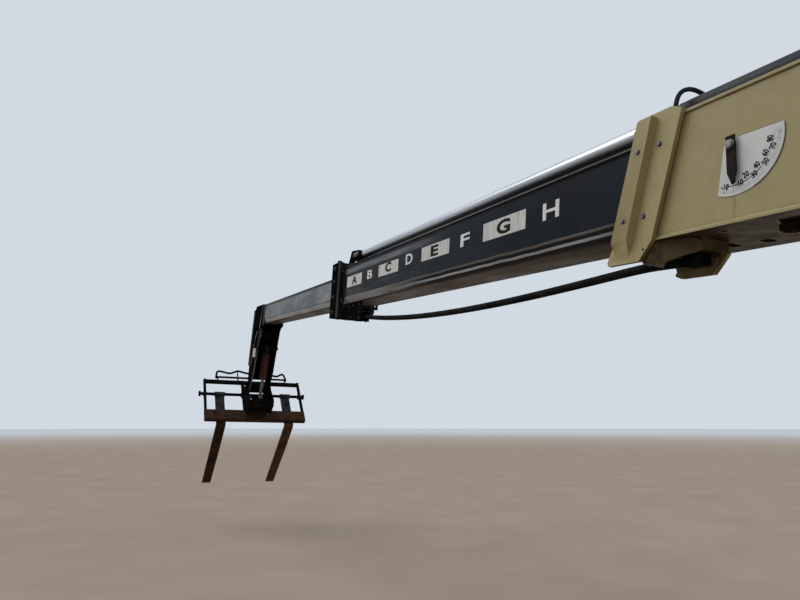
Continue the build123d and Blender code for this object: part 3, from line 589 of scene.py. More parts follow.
def shade_group():
    """Smooth over shallow edges, crisp over the rest."""
    g = bpy.data.node_groups.new("shade_by_angle", "GeometryNodeTree")
    g.interface.new_socket("Geometry", in_out="INPUT", socket_type="NodeSocketGeometry")
    g.interface.new_socket("Geometry", in_out="OUTPUT", socket_type="NodeSocketGeometry")
    a = g.nodes.new("NodeGroupInput")
    z = g.nodes.new("NodeGroupOutput")
    faces = g.nodes.new("GeometryNodeSetShadeSmooth")
    faces.domain = "FACE"
    faces.inputs["Shade Smooth"].default_value = True
    edges = g.nodes.new("GeometryNodeSetShadeSmooth")
    edges.domain = "EDGE"
    ang = g.nodes.new("GeometryNodeInputMeshEdgeAngle")
    comp = g.nodes.new("FunctionNodeCompare")
    comp.data_type = "FLOAT"
    comp.operation = "LESS_EQUAL"
    comp.inputs[1].default_value = math.radians(33)
    g.links.new(ang.outputs["Unsigned Angle"], comp.inputs[0])
    g.links.new(a.outputs[0], faces.inputs["Geometry"])
    g.links.new(faces.outputs[0], edges.inputs["Geometry"])
    g.links.new(comp.outputs[0], edges.inputs["Shade Smooth"])
    g.links.new(edges.outputs[0], z.inputs[0])
    return g


WELD, SHADE = weld_group(), shade_group()


def dress(node, mat, edge=None, width=0.0):
    """Material for a CAD node, with its long edges broken by a narrow chamfer."""
    ob = NODES[node]
    ob.data.materials.clear()
    ob.data.materials.append(mat)
    if edge is not None:
        ob.data.materials.append(edge)
    m = ob.modifiers.new("join", "NODES")
    m.node_group = WELD
    if node in ("outer_section", "outer_collar", "guide_foot", "carrier_guide", "coupler", "second_collar", "head", "hose_box"):
        d = ob.modifiers.new("join_flats", "DECIMATE")
        d.decimate_type = "DISSOLVE"
        d.angle_limit = math.radians(0.6)
    if width:
        b = ob.modifiers.new("break_edges", "BEVEL")
        b.width = width
        b.segments = 1
        b.limit_method = "ANGLE"
        b.angle_limit = math.radians(40)
        b.use_clamp_overlap = True
        b.material = 1 if edge is not None else -1
    m = ob.modifiers.new("shade", "NODES")
    m.node_group = SHADE


# node, material, edge material, chamfer
for node, mat, edge, width in (
    ("outer_section", "outer", "tan_edge", 0.0016), ("pivot_tube", "tan_plain", "tan_edge", 0.0015),
    ("pivot_doublers", "tan", "tan_edge", 0.0018), ("outer_collar", "tan", "tan_edge", 0.0020),
    ("outer_wear_pads", "pad", None, 0.0), ("lift_lugs", "tan", "tan_edge", 0.0018),
    ("slave_lugs", "tan", "tan_edge", 0.0015), ("extension_barrel", "black_gloss", None, 0.0),
    ("barrel_pin", "zinc", None, 0.0), ("barrel_anchor", "tan", "tan_edge", 0.0015),
    ("barrel_saddles", "black", "black_edge", 0.0012), ("dial_plate", "dial", "dial", 0.0),
    ("pointer_bolt", "bolt_dull", None, 0.0), ("dial_pointer", "ink", None, 0.0),
    ("carrier_guide", "guide", "guide", 0.0012), ("guide_foot", "foot", "foot", 0.0012),
    ("carrier_tray", "black_dusty", "black_edge", 0.0010), ("hose_block", "black", "black_edge", 0.001),
    ("second_collar", "collar_2", "deep_edge", 0.0018), ("extension_rod", "chrome", None, 0.0),
    ("rod_bracket", "deep", "deep_edge", 0.0012), ("rod_pin", "zinc", None, 0.0),
    ("hose_box", "deep", "deep_edge", 0.0012), ("carrier_clamp", "deep", "deep_edge", 0.0012),
    ("carrier_shoe", "deep", None, 0.0), ("second_wear_pads", "pad", None, 0.0),
    ("third_rear_pads", "pad", None, 0.0), ("head", "head", "head_edge", 0.0018),
    ("carriage_pin", "deep", None, 0.0), ("tilt_upper_pin", "deep", None, 0.0),
    ("tilt_barrel", "red", None, 0.0), ("tilt_rod", "rod_dull", None, 0.0),
    ("coupler", "deep", "deep_edge", 0.0018), ("lower_bar", "rust", "rust", 0.0030),
    ("backrest", "deep", "deep_edge", 0.0018), ("fork_shaft", "deep", None, 0.0),
    ("hose_bar", "deep", None, 0.0), ("left_fork", "fork_dark", "fork_dark", 0.0025),
    ("right_fork", "fork", "fork", 0.0025),
):
    dress(node, M[mat], M[edge] if edge else None, width)


# --------------------------------------------------------------- mesh helpers
def finish_piece(name, bm, mats, body, angle=35, fix=True):
    if fix:
        bmesh.ops.recalc_face_normals(bm, faces=bm.faces)
    me = bpy.data.meshes.new(name)
    bm.to_mesh(me)
    bm.free()
    for m in (mats if isinstance(mats, (list, tuple)) else [mats]):
        me.materials.append(m)
    me.polygons.foreach_set("use_smooth", [True] * len(me.polygons))
    me.set_sharp_from_angle(angle=math.radians(angle))
    ob = bpy.data.objects.new(name, me)
    scene.collection.objects.link(ob)
    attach(ob, body)
    return ob


def basis(axis):
    a = Vector(axis).normalized()
    ref = Vector((0, 0, 1)) if abs(a.z) < 0.9 else Vector((1, 0, 0))
    u = a.cross(ref).normalized()
    return a, u, a.cross(u)


def skin(bm, rings, closed_ends=True, mat=0):
    """Joins rings of equal count into a skin, capped at both ends."""
    n = len(rings[0])
    for ra, rb in zip(rings, rings[1:]):
        for i in range(n):
            f = bm.faces.new((ra[i], ra[(i + 1) % n], rb[(i + 1) % n], rb[i]))
            f.material_index = mat
    if closed_ends:
        for ring in (rings[0], rings[-1]):
            f = bm.faces.new(ring)
            f.material_index = mat


def lathe(bm, base, axis, profile, n=20, phase=0.0, mat=0):
    """A turned shape: radius and height along the axis, from base."""
    a, u, v = basis(axis)
    base = Vector(base)
    rings = []
    for r, h in profile:
        rings.append([bm.verts.new(base + a * h + (u * math.cos(t) + v * math.sin(t)) * r)
                      for t in (phase + 2 * math.pi * i / n for i in range(n))])
    skin(bm, rings, True, mat)


def turned_ring(bm, base, axis, profile, n=48, mat=0):
    """A closed turned ring: its section's last point joins its first, and its bore stays open."""
    a, u, v = basis(axis)
    base = Vector(base)
    rows = [[bm.verts.new(base + a * h + (u * math.cos(t) + v * math.sin(t)) * r)
             for t in (2 * math.pi * i / n for i in range(n))] for r, h in profile]
    for i, row in enumerate(rows):
        nxt = rows[(i + 1) % len(rows)]
        for k in range(n):
            m = (k + 1) % n
            bm.faces.new((row[k], row[m], nxt[m], nxt[k])).material_index = mat


def bolt(bm, pos, axis, s, phase=0.3, washer=True, mat=0):
    """A hexagon head on a washer; s is the head's corner radius."""
    if washer:
        lathe(bm, pos, axis, [(1.28 * s, -0.0005), (1.28 * s, 0.16 * s), (1.18 * s, 0.22 * s)], 20, 0, mat)
    lathe(bm, pos, axis, [(s, 0.18 * s), (s, 0.72 * s), (0.86 * s, 0.86 * s), (0.50 * s, 0.88 * s)], 6, phase, mat)


def block(bm, lo_c, hi_c, chamfer=0.0, mat=0, origin=None, axes=None):
    """A plate or block with broken edges, in the row frame or on given axes."""
    o = Vector(origin) if origin is not None else Vector((0, 0, 0))
    ax = axes or (Vector((1, 0, 0)), Vector((0, 1, 0)), Vector((0, 0, 1)))
    vs = []
    for k in (0, 1):
        for j in (0, 1):
            for i in (0, 1):
                c = (hi_c[0] if i else lo_c[0], hi_c[1] if j else lo_c[1], hi_c[2] if k else lo_c[2])
                vs.append(bm.verts.new(o + ax[0] * c[0] + ax[1] * c[1] + ax[2] * c[2]))
    fs = [bm.faces.new([vs[i] for i in q]) for q in
          ((0, 2, 3, 1), (4, 5, 7, 6), (0, 1, 5, 4), (2, 6, 7, 3), (0, 4, 6, 2), (1, 3, 7, 5))]
    for f in fs:
        f.material_index = mat
    if chamfer:
        edges = list({e for f in fs for e in f.edges})
        bmesh.ops.bevel(bm, geom=edges, offset=chamfer, segments=2, profile=0.5, affect="EDGES", clamp_overlap=True)


def prism(bm, outline, offset, chamfer=0.0, mat=0):
    """A flat outline of points, thickened by the offset vector."""
    off = Vector(offset)
    a = [bm.verts.new(Vector(p)) for p in outline]
    b = [bm.verts.new(Vector(p) + off) for p in outline]
    n = len(a)
    fs = [bm.faces.new(a), bm.faces.new(list(reversed(b)))]
    for i in range(n):
        fs.append(bm.faces.new((a[i], b[i], b[(i + 1) % n], a[(i + 1) % n])))
    for f in fs:
        f.material_index = mat
    if chamfer:
        rim = [e for f in fs[:2] for e in f.edges]
        bmesh.ops.bevel(bm, geom=list(set(rim)), offset=chamfer, segments=2, profile=0.5, affect="EDGES", clamp_overlap=True)


def smooth_line(points, step=0.01):
    """A curve through the points, for pipes and straps."""
    pts = [Vector(p) for p in points]
    ext = [pts[0] * 2 - pts[1]] + pts + [pts[-1] * 2 - pts[-2]]
    out = []
    for i in range(1, len(ext) - 2):
        a, b, c, d = ext[i - 1:i + 3]
        n = max(2, int((c - b).length / step))
        for k in range(n):
            t = k / n
            out.append(0.5 * ((2 * b) + (c - a) * t + (2 * a - 5 * b + 4 * c - d) * t * t
                              + (3 * b - a - 3 * c + d) * t ** 3))
    out.append(pts[-1])
    return out


def sweep(bm, pts, radius, n=12, mat=0, radius_at=None, flat=None):
    """A tube along the points. radius_at gives a scale by distance; flat is not used."""
    pts = [Vector(p) for p in pts]
    t0 = (pts[1] - pts[0]).normalized()
    u = basis(t0)[1]
    rings, dist = [], 0.0
    for i, p in enumerate(pts):
        if i:
            dist += (p - pts[i - 1]).length
        t = (pts[min(i + 1, len(pts) - 1)] - pts[max(i - 1, 0)]).normalized()
        u = (u - t * u.dot(t)).normalized()
        v = t.cross(u)
        k = radius_at(dist) if radius_at else 1.0
        ring = []
        for j in range(n):
            a = 2 * math.pi * j / n
            ring.append(bm.verts.new(p + (u * math.cos(a) + v * math.sin(a)) * radius * k))
        rings.append(ring)
    skin(bm, rings, True, mat)


def bead(bm, points, da, db, size, step=0.006, seed=0.0, mat=0):
    """A weld bead in the corner between two faces that leave it along da and db."""
    da, db = Vector(da).normalized(), Vector(db).normalized()
    pts = [Vector(p) for p in points]
    line = []
    for a, b in zip(pts, pts[1:]):
        n = max(1, int((b - a).length / step))
        line += [a.lerp(b, k / n) for k in range(n)]
    line.append(pts[-1])
    rings = []
    for k, p in enumerate(line):
        lump = 1 + 0.16 * (k % 2) + 0.30 * (noise.noise(p * 21 + Vector((seed, 0, 0))))
        s = size * lump
        inner = p - (da + db) * 0.0006
        rings.append([bm.verts.new(q) for q in (
            inner, p + da * s - db * 0.0006, p + (da + db) * s * 0.66, p + db * s - da * 0.0006)])
    skin(bm, rings, True, mat)


def rounded(points, radii, seg=6):
    """Polygon corners turned into arcs of the given radii."""
    out = []
    n = len(points)
    for i, (p, r) in enumerate(zip(points, radii)):
        p = Vector(p)
        if r <= 0:
            out.append(p)
            continue
        a = (Vector(points[i - 1]) - p).normalized()
        b = (Vector(points[(i + 1) % n]) - p).normalized()
        half = a.angle(b) / 2
        d = r / math.tan(half)
        c = p + (a + b).normalized() * (r / math.sin(half))
        start, end = p + a * d - c, p + b * d - c
        ang = start.angle(end)
        for k in range(seg + 1):
            t = k / seg
            q = (start * math.sin((1 - t) * ang) + end * math.sin(t * ang)) / math.sin(ang)
            out.append(c + q)
    return out


def hollow(bm, x0, x1, outer, inner, mat=0, cuts=1):
    """A hollow bar along X from two outlines in Y and Z."""
    def ring(loop, x):
        return [bm.verts.new((x, p[0], p[1])) for p in loop]

    ends = []
    for loop, flip in ((outer, False), (inner, True)):
        rings = [ring(loop, x0 + (x1 - x0) * k / cuts) for k in range(cuts + 1)]
        n = len(loop)
        for ra, rb in zip(rings, rings[1:]):
            for i in range(n):
                q = (ra[i], ra[(i + 1) % n], rb[(i + 1) % n], rb[i])
                f = bm.faces.new(q if not flip else tuple(reversed(q)))
                f.material_index = mat
        ends.append((rings[0], rings[-1]))
    flat = [[Vector((p[0], p[1], 0)) for p in outer], [Vector((p[0], p[1], 0)) for p in inner]]
    tris = tessellate_polygon(flat)
    for k in (0, 1):
        verts = ends[0][k] + ends[1][k]
        for t in tris:
            f = bm.faces.new([verts[i] for i in t])
            f.material_index = mat


def words(text, size, weight=0.0, stretch=1.0, depth=0.0006):
    """A text as a mesh, centred, lying in its own XY plane."""
    cu = bpy.data.curves.new("t", "FONT")
    cu.body = text
    cu.size = size
    cu.offset = weight
    cu.extrude = depth / 2
    cu.resolution_u = 6
    cu.align_x = "CENTER"
    cu.align_y = "CENTER"
    ob = bpy.data.objects.new("t", cu)
    scene.collection.objects.link(ob)
    bpy.context.view_layer.update()
    me = bpy.data.meshes.new_from_object(ob.evaluated_get(bpy.context.evaluated_depsgraph_get()))
    bpy.data.objects.remove(ob)
    bpy.data.curves.remove(cu)
    xs = [v.co.x for v in me.vertices]
    ys = [v.co.y for v in me.vertices]
    cx, cy = (min(xs) + max(xs)) / 2, (min(ys) + max(ys)) / 2
    for v in me.vertices:
        v.co.x = (v.co.x - cx) * stretch
        v.co.y = v.co.y - cy
    return me


def fit_words(text, width, height, weight, depth=0.0006):
    """A letter scaled to an exact width and height."""
    me = words(text, height * 1.37, weight, 1.0, depth)
    xs = [v.co.x for v in me.vertices]
    ys = [v.co.y for v in me.vertices]
    kx, ky = width / (max(xs) - min(xs)), height / (max(ys) - min(ys))
    for v in me.vertices:
        v.co.x *= kx
        v.co.y *= ky
    return me


def add_mesh(bm, me, place, mat=0):
    """Adds a mesh to a piece at a placing matrix."""
    other = bmesh.new()
    other.from_mesh(me)
    other.transform(place)
    bmesh.ops.remove_doubles(other, verts=other.verts, dist=1e-6)
    tmp = bpy.data.meshes.new("tmp")
    other.to_mesh(tmp)
    other.free()
    first = len(bm.faces)
    bm.from_mesh(tmp)
    bm.faces.ensure_lookup_table()
    for f in bm.faces[first:]:
        f.material_index = mat
    bpy.data.meshes.remove(tmp)


def facing(origin, right, up):
    r, u = Vector(right).normalized(), Vector(up).normalized()
    n = r.cross(u)
    return Matrix(((r.x, u.x, n.x, origin[0]), (r.y, u.y, n.y, origin[1]), (r.z, u.z, n.z, origin[2]), (0, 0, 0, 1)))


# ----------------------------------------------------------------- the cords
def nurbs(name, points):
    cu = bpy.data.curves.new(name, "CURVE")
    cu.dimensions = "3D"
    cu.resolution_u = 12
    sp = cu.splines.new("NURBS")
    sp.points.add(len(points) - 1)
    for q, p in zip(sp.points, points):
        q.co = (*p, 1)
    sp.order_u = 3
    sp.use_endpoint_u = True
    ob = bpy.data.objects.new(name, cu)
    scene.collection.objects.link(ob)
    return ob


def line_of(curve_object):
    """The points of the spline itself, read from the curve with no bevel."""
    bpy.context.view_layer.update()
    me = bpy.data.meshes.new_from_object(curve_object.evaluated_get(bpy.context.evaluated_depsgraph_get()))
    pts = [v.co.copy() for v in me.vertices]
    bpy.data.meshes.remove(me)
    return pts


def spaced(pts, step):
    """The same line with even spacing."""
    out, carry = [pts[0].copy()], 0.0
    for a, b in zip(pts, pts[1:]):
        seg = (b - a).length
        d = step - carry
        while d <= seg:
            out.append(a.lerp(b, d / seg))
            d += step
        carry = seg - (d - step)
    if (out[-1] - pts[-1]).length > step * 0.3:
        out.append(pts[-1].copy())
    return out


# the ribbed hose carrier under the second section
carrier_route = [(x / 1000, 0.086, z / 1000) for x, z in (
    (8860, -262), (8640, -280), (8360, -303), (7980, -323), (7560, -335), (7080, -336),
    (6600, -325), (6160, -306), (5740, -281), (5400, -258), (5270, -259), (5165, -262))]
guide_curve = nurbs("carrier_line", carrier_route)
carrier_path = line_of(guide_curve)
bpy.data.objects.remove(guide_curve)
bm = bmesh.new()
RIB = 0.019


def rib_scale(d):
    t = (d / RIB) % 1.0
    return 1.0 if 0.22 < t < 0.72 else 0.885


sweep(bm, spaced(carrier_path, RIB / 6), 0.0210, 18, 0, rib_scale)
carrier = finish_piece("hose_carrier_cover", bm, M["hose"], "second_boom", 50)
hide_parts("hose_carrier")

# the wavy hose over the backrest
hose_route = [tuple(tipped(0.300, w / 1000, y / 1000)) for y, w in (
    (628, 566), (626, 640), (592, 700), (500, 674), (390, 642), (320, 678), (253, 722), (170, 700),
    (78, 660), (-30, 694), (-140, 730), (-240, 694), (-348, 652), (-453, 620), (-520, 660),
    (-572, 700), (-606, 640), (-612, 566))]
wavy = nurbs("backrest_hose", hose_route)
wavy.data.bevel_depth = 0.018
wavy.data.bevel_resolution = 6
wavy.data.use_fill_caps = True
wavy.data.materials.append(M["hose"])
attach(wavy, "carriage")
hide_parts("carriage_hose")

# the hose loop over the collar
loop_route = [(x / 1000, y / 1000, z / 1000) for x, y, z in (
    (5204, 120, 366), (5200, 118, 430), (5210, 80, 492), (5212, 20, 525),
    (5200, -40, 515), (5165, -80, 462), (5147, -88, 400))]
loop = nurbs("collar_hose", loop_route)
loop.data.bevel_depth = 0.010
loop.data.bevel_resolution = 6
loop.data.use_fill_caps = True
loop.data.materials.append(M["hose_grey"])
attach(loop, "outer_boom")
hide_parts("top_hose")

# --------------------------------------------------- second and third sections
def pierced(bm, place, axis, r, depth):
    """Drills a round hole through a piece that is being built."""
    me = bpy.data.meshes.new("blank")
    bm.to_mesh(me)
    bm.free()
    blank = bpy.data.objects.new("blank", me)
    tool = bmesh.new()
    lathe(tool, Vector(place) - Vector(axis).normalized() * depth / 2, axis, [(r, 0), (r, depth)], 28)
    bmesh.ops.recalc_face_normals(tool, faces=tool.faces)
    tm = bpy.data.meshes.new("drill")
    tool.to_mesh(tm)
    tool.free()
    drill = bpy.data.objects.new("drill", tm)
    for ob in (blank, drill):
        scene.collection.objects.link(ob)
    m = blank.modifiers.new("drill", "BOOLEAN")
    m.operation = "DIFFERENCE"
    m.solver = "EXACT"
    m.object = drill
    bpy.context.view_layer.update()
    out = bpy.data.meshes.new_from_object(blank.evaluated_get(bpy.context.evaluated_depsgraph_get()))
    new = bmesh.new()
    new.from_mesh(out)
    for ob in (blank, drill):
        bpy.data.objects.remove(ob)
    for me in (me, tm, out):
        bpy.data.meshes.remove(me)
    return new


def section(name, x0, x1, web, thick, z0, z1, plate, lip, bend, radius, mat, body, nodes, holes=()):
    a, b = bend
    outer = [(-lip, z1), (lip, z1), (lip, z1 - plate), (web, z1 - plate), (web, z0 + b), (web - a, z0),
             (-web + a, z0), (-web, z0 + b), (-web, z1 - plate), (-lip, z1 - plate)]
    rad = [0.0025, 0.0025, 0.002, 0, radius, radius, radius, radius, 0, 0.002]
    wi, ai, bi = web - thick, a - 0.002, b - 0.002
    inner = [(-wi, z1 - plate), (wi, z1 - plate), (wi, z0 + bi + 0.002), (wi - ai, z0 + thick),
             (-wi + ai, z0 + thick), (-wi, z0 + bi + 0.002)]
    bm = bmesh.new()
    hollow(bm, x0, x1, rounded(outer, rad), inner)
    for place, axis, r, depth in holes:
        bm = pierced(bm, place, axis, r, depth)
    ob = finish_piece(name, bm, mat, body, 32)
    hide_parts(*nodes)
    return ob


section("second_boom_tube", 3.800, 9.540, 0.178, 0.006, -0.118, 0.268, 0.010, 0.187, (0.044, 0.066), 0.020,
        M["second"], "second_boom",
        ("second_top_plate", "second_webs", "second_folds", "second_bottom_plate"),
        [((8.609, 0.175, 0.0305), (0, 1, 0), 0.0150, 0.03), ((7.300, 0.175, -0.012), (0, 1, 0), 0.0080, 0.03),
         ((8.609, -0.175, 0.0305), (0, 1, 0), 0.0150, 0.03)])
section("third_boom_tube", 7.620, 13.560, 0.145, 0.006, -0.100, 0.198, 0.008, 0.151, (0.036, 0.058), 0.018,
        M["third"], "third_boom",
        ("third_top_plate", "third_webs", "third_folds", "third_bottom_plate"))

# weld beads of the three sections
bm = bmesh.new()
for s in (-1, 1):
    bead(bm, [(5.14, s * 0.208, 0.313), (-0.145, s * 0.208, 0.313)], (0, s, 0), (0, 0, -1), 0.0042, seed=s)
    bead(bm, [(5.14, s * 0.208, -0.168), (-0.145, s * 0.208, -0.168)], (0, s, 0), (0, 0, 1), 0.0042, seed=s + 3)
    # round the pivot tube
    ring = [(0.079 * math.cos(t), s * 0.221, 0.079 * math.sin(t)) for t in (i * math.pi / 20 for i in range(41))]
    for a, b in zip(ring, ring[1:]):
        out = Vector((a[0], 0, a[2])).normalized()
        bead(bm, [a, b], out, (0, s, 0), 0.008, 0.02, s)
    # doubler plate's edge
    edge = [(-0.148, 0.200), (0.060, 0.290), (0.520, 0.290), (0.760, 0.200), (0.760, -0.150)]
    for (xa, za), (xb, zb) in zip(edge, edge[1:]):
        n = Vector((zb - za, 0, xa - xb)).normalized() * -1
        bead(bm, [(xa, s * 0.2085, za), (xb, s * 0.2085, zb)], n, (0, s, 0), 0.007, seed=s + 5)
finish_piece("outer_weld_beads", bm, M["tan_plain"], "outer_boom", 60)

bm = bmesh.new()
for s in (-1, 1):
    bead(bm, [(3.81, s * 0.178, 0.258), (9.195, s * 0.178, 0.258)], (0, s, 0), (0, 0, -1), 0.0050, seed=s + 7)
finish_piece("second_weld_beads", bm, M["black"], "second_boom", 60)

bm = bmesh.new()
for s in (-1, 1):
    bead(bm, [(7.63, s * 0.145, 0.190), (13.20, s * 0.145, 0.190)], (0, s, 0), (0, 0, -1), 0.0045, seed=s + 9)
finish_piece("third_weld_beads", bm, M["black_dusty"], "third_boom", 60)

# ------------------------------------------------------------- letters on the web
# text, letter centre x, z, width, height; the off-white plates and their corners
LETTERS = (
    ("A", 8.927, 0.096, 0.140, 0.080, (9.138, 8.728, 0.040, 0.148)),
    ("B", 8.523, 0.102, 0.122, 0.080, None),
    ("C", 8.097, 0.110, 0.128, 0.082, (8.310, 7.890, 0.048, 0.152)),
    ("D", 7.684, 0.119, 0.124, 0.084, None),
    ("E", 7.253, 0.116, 0.118, 0.080, (7.463, 7.033, 0.062, 0.168)),
    ("F", 6.822, 0.118, 0.118, 0.086, None),
    ("G", 6.377, 0.118, 0.142, 0.088, (6.600, 6.160, 0.062, 0.176)),
    ("H", 5.940, 0.118, 0.134, 0.094, None),
)
bm = bmesh.new()
for text, x, z, w, h, card in LETTERS:
    if card:
        x0, x1, z0, z1 = card
        outline = rounded([(x1, z0), (x0, z0), (x0, z1), (x1, z1)], [0.004] * 4, 3)
        prism(bm, [(p[0], 0.1779, p[1]) for p in outline], (0, 0.0008, 0), 0.0, 0)
finish_piece("letter_plates", bm, M["plate"], "second_boom", 30)
for name, mat, wanted, weight in (("dark_letters", "ink", True, 0.0046), ("light_letters", "letter", False, 0.0022)):
    bm = bmesh.new()
    for text, x, z, w, h, card in LETTERS:
        if (card is not None) == wanted:
            y = 0.1790 if card else 0.1782
            add_mesh(bm, fit_words(text, w, h, weight), facing((x, y, z), (-1, 0, 0), (0, 0, 1)))
    finish_piece(name, bm, M[mat], "second_boom", 30)

# painted shade: dark discs for the shaded inside of the two drain holes; and a blank label on the head
bm = bmesh.new()
for s in (-1, 1):
    lathe(bm, (8.609, s * 0.1738, 0.0305), (0, s, 0), [(0.0149, 0), (0.0149, 0.0006), (0.0110, 0.0012)], 28)
finish_piece("drain_hole_shade", bm, M["ink"], "second_boom", 40)
bm = bmesh.new()
prism(bm, [(p[0], 0.1700, p[1]) for p in rounded([(13.600, -0.655), (13.810, -0.655), (13.810, -0.510), (13.600, -0.510)], [0.004] * 4, 3)],
      (0, 0.0008, 0), 0.0, 0)
finish_piece("head_label", bm, M["label_beige"], "third_boom", 30)

# ----------------------------------------------------------------- angle dial
DX, DZ, DR = 4.867, 0.1105, 0.188
FACE = 0.2110


def dial_at(r, deg, y=FACE):
    a = math.radians(deg)
    return Vector((DX - r * math.sin(a), y, DZ - r * math.cos(a)))


def flat_bar(bm, a, b, width, depth, mat=0):
    """A thin printed line on the dial from a to b."""
    d = (b - a).normalized()
    side = Vector((0, 1, 0)).cross(d).normalized() * (width / 2)
    prism(bm, [a - side, b - side, b + side, a + side], (0, depth, 0), 0.0, mat)


bm = bmesh.new()
# the arc under the numbers, dark to 50 and fainter beyond
for k in range(60):
    a0 = -12 + k * 100 / 60
    dark = a0 < 42
    flat_bar(bm, dial_at(0.1525, a0, FACE - 0.0002), dial_at(0.1525, a0 + 100 / 60 + 0.1, FACE - 0.0002),
             0.0032 if dark else 0.0012, 0.0006, 0 if dark else 1)
for k in range(-5, 47):
    deg = k * 2
    if deg < -14 or deg > 90:
        continue
    major = k % 5 == 0
    flat_bar(bm, dial_at(0.1550 if major else 0.1640, deg, FACE - 0.0002), dial_at(0.1790, deg, FACE - 0.0002),
             0.0012 if major else 0.0008, 0.0005, 0 if major and deg in (0, 80) else 1)
for deg, r, text in ((-10, 0.1525, "-10"), (0, 0.133, "0"), (10, 0.1500, "10"), (20, 0.1330, "20"), (30, 0.1525, "30"),
                     (40, 0.1340, "40"), (50, 0.1540, "50"), (60, 0.1370, "60"), (70, 0.1550, "70"), (80, 0.1390, "80")):
    a = math.radians(deg + (-3.0 if deg < 0 else 0.8))
    me = words(text, 0.0300, 0.0012, 0.76, 0.0005)
    add_mesh(bm, me, facing(dial_at(r, math.degrees(a), FACE + 0.0001), (-math.cos(a), 0, math.sin(a)),
                            (math.sin(a), 0, math.cos(a))), 0)
finish_piece("dial_marks", bm, [M["ink"], M["ink_grey"]], "outer_boom", 30)

# worn dark line round the dial's top and right edges
bm = bmesh.new()
rim = [dial_at(DR + 0.0006, d, 0.2083) for d in range(24, 98, 3)]
for a, b in zip(rim, rim[1:]):
    flat_bar(bm, a, b, 0.0036, 0.0024)
flat_bar(bm, Vector((4.848, 0.2083, 0.1372)), Vector((4.684, 0.2083, 0.1372)), 0.0030, 0.0024)
finish_piece("dial_edge_dirt", bm, M["grease"], "outer_boom", 30)

# washer stack and spacer behind the pointer, and two rivets that hold the plate
bm = bmesh.new()
lathe(bm, (DX, 0.2105, DZ), (0, 1, 0), [(0.016, 0), (0.016, 0.003), (0.0145, 0.0042)], 28)
for d, r in ((88, 0.172), (-13, 0.172)):
    c = dial_at(r, d, 0.2107)
    lathe(bm, c, (0, 1, 0), [(0.0042, 0), (0.0042, 0.0010), (0.0030, 0.0022), (0.0012, 0.0027)], 14)
finish_piece("dial_fixings", bm, M["zinc"], "outer_boom", 40)
bm = bmesh.new()
lathe(bm, (DX, 0.2290, DZ), (0, 1, 0), [(0.0170, 0), (0.0170, 0.0022), (0.0155, 0.0030)], 28)
finish_piece("pointer_washer", bm, M["dark_steel"], "pointer", 40)

# ------------------------------------------------------------ first collar
bm = bmesh.new()
for s in (-1, 1):
    for x, y, z in ((5.260, 0.270, 0.197), (5.176, 0.238, 0.213), (5.338, 0.270, -0.086), (5.257, 0.238, -0.074)):
        bolt(bm, (x, s * y, z), (0, s, 0), 0.0098, phase=x * 40)
for x, y in ((5.150, -0.15), (5.150, 0.15), (5.245, -0.15), (5.245, 0.15)):
    bolt(bm, (x, y, 0.352), (0, 0, 1), 0.0125, phase=x * 31)
for x, y in ((5.285, -0.08), (5.375, -0.08), (5.285, -0.18), (5.375, -0.18)):
    bolt(bm, (x, y, -0.206), (0, 0, -1), 0.0125, phase=x * 17)
finish_piece("collar_bolts", bm, M["bolt_dull"], "outer_boom", 30)

bm = bmesh.new()
TR = math.tan(math.radians(13.4))
for s in (-1, 1):
    # rear edge of the packing against the web, and along the upright rib
    bead(bm, [(5.276 - 0.080 - (0.30 - 0.05) * TR, s * 0.208, 0.30), (5.276 - 0.080 + (0.16 + 0.05) * TR, s * 0.208, -0.16)],
         (-1, 0, 0), (0, s, 0), 0.007, seed=s)
    bead(bm, [(5.191, s * 0.238, 0.328), (5.326, s * 0.238, -0.180)], (-1, 0, 0), (0, s, 0), 0.0040, seed=s + 1)
finish_piece("collar_welds", bm, M["tan"], "outer_boom", 60)

# --------------------------------------------------- extension cylinder details
bm = bmesh.new()
# gland ring at the barrel's mouth with its screws, and a wiper
turned_ring(bm, (5.245, 0, 0.414), (1, 0, 0), [(0.0600, -0.001), (0.0600, 0.003), (0.0560, 0.005), (0.0460, 0.005), (0.0446, 0.003), (0.0446, -0.001)])
for k in range(8):
    t = k * math.pi / 4 + 0.2
    bolt(bm, (5.249, 0.052 * math.cos(t), 0.414 + 0.052 * math.sin(t)), (1, 0, 0), 0.005, washer=False, phase=t)
for x in (4.060, 2.980, 1.900, 1.200):
    turned_ring(bm, (x, 0, 0.414), (1, 0, 0), [(0.0605, 0), (0.0615, 0), (0.0640, 0.003), (0.0640, 0.029), (0.0615, 0.032), (0.0605, 0.032)])
finish_piece("barrel_bands", bm, M["black"], "outer_boom", 30)

bm = bmesh.new()
# steel feed pipe along the right side of the barrel, with clamps
pipe = smooth_line([(5.010, -0.078, 0.414), (5.010, -0.098, 0.416), (4.985, -0.104, 0.424), (4.940, -0.104, 0.430),
                    (4.300, -0.104, 0.430), (2.600, -0.104, 0.430), (1.300, -0.104, 0.430), (1.120, -0.100, 0.428),
                    (1.040, -0.085, 0.422), (1.010, -0.058, 0.416)], 0.02)
sweep(bm, pipe, 0.0085, 12)
lathe(bm, (5.010, -0.082, 0.414), (0, -1, 0), [(0.015, 0), (0.015, 0.012), (0.011, 0.016)], 6)
lathe(bm, (1.010, -0.060, 0.416), (0, -1, 0), [(0.015, 0), (0.015, 0.010), (0.011, 0.014)], 6)
finish_piece("barrel_feed_pipe", bm, M["dark_steel"], "outer_boom", 40)
bm = bmesh.new()
for x in (4.45, 3.35, 2.15, 1.45):
    block(bm, (x - 0.015, -0.117, 0.418), (x + 0.015, -0.056, 0.442), 0.003)
    bolt(bm, (x, -0.082, 0.442), (0, 0, 1), 0.006, washer=False)
finish_piece("pipe_clamps", bm, M["black"], "outer_boom", 30)

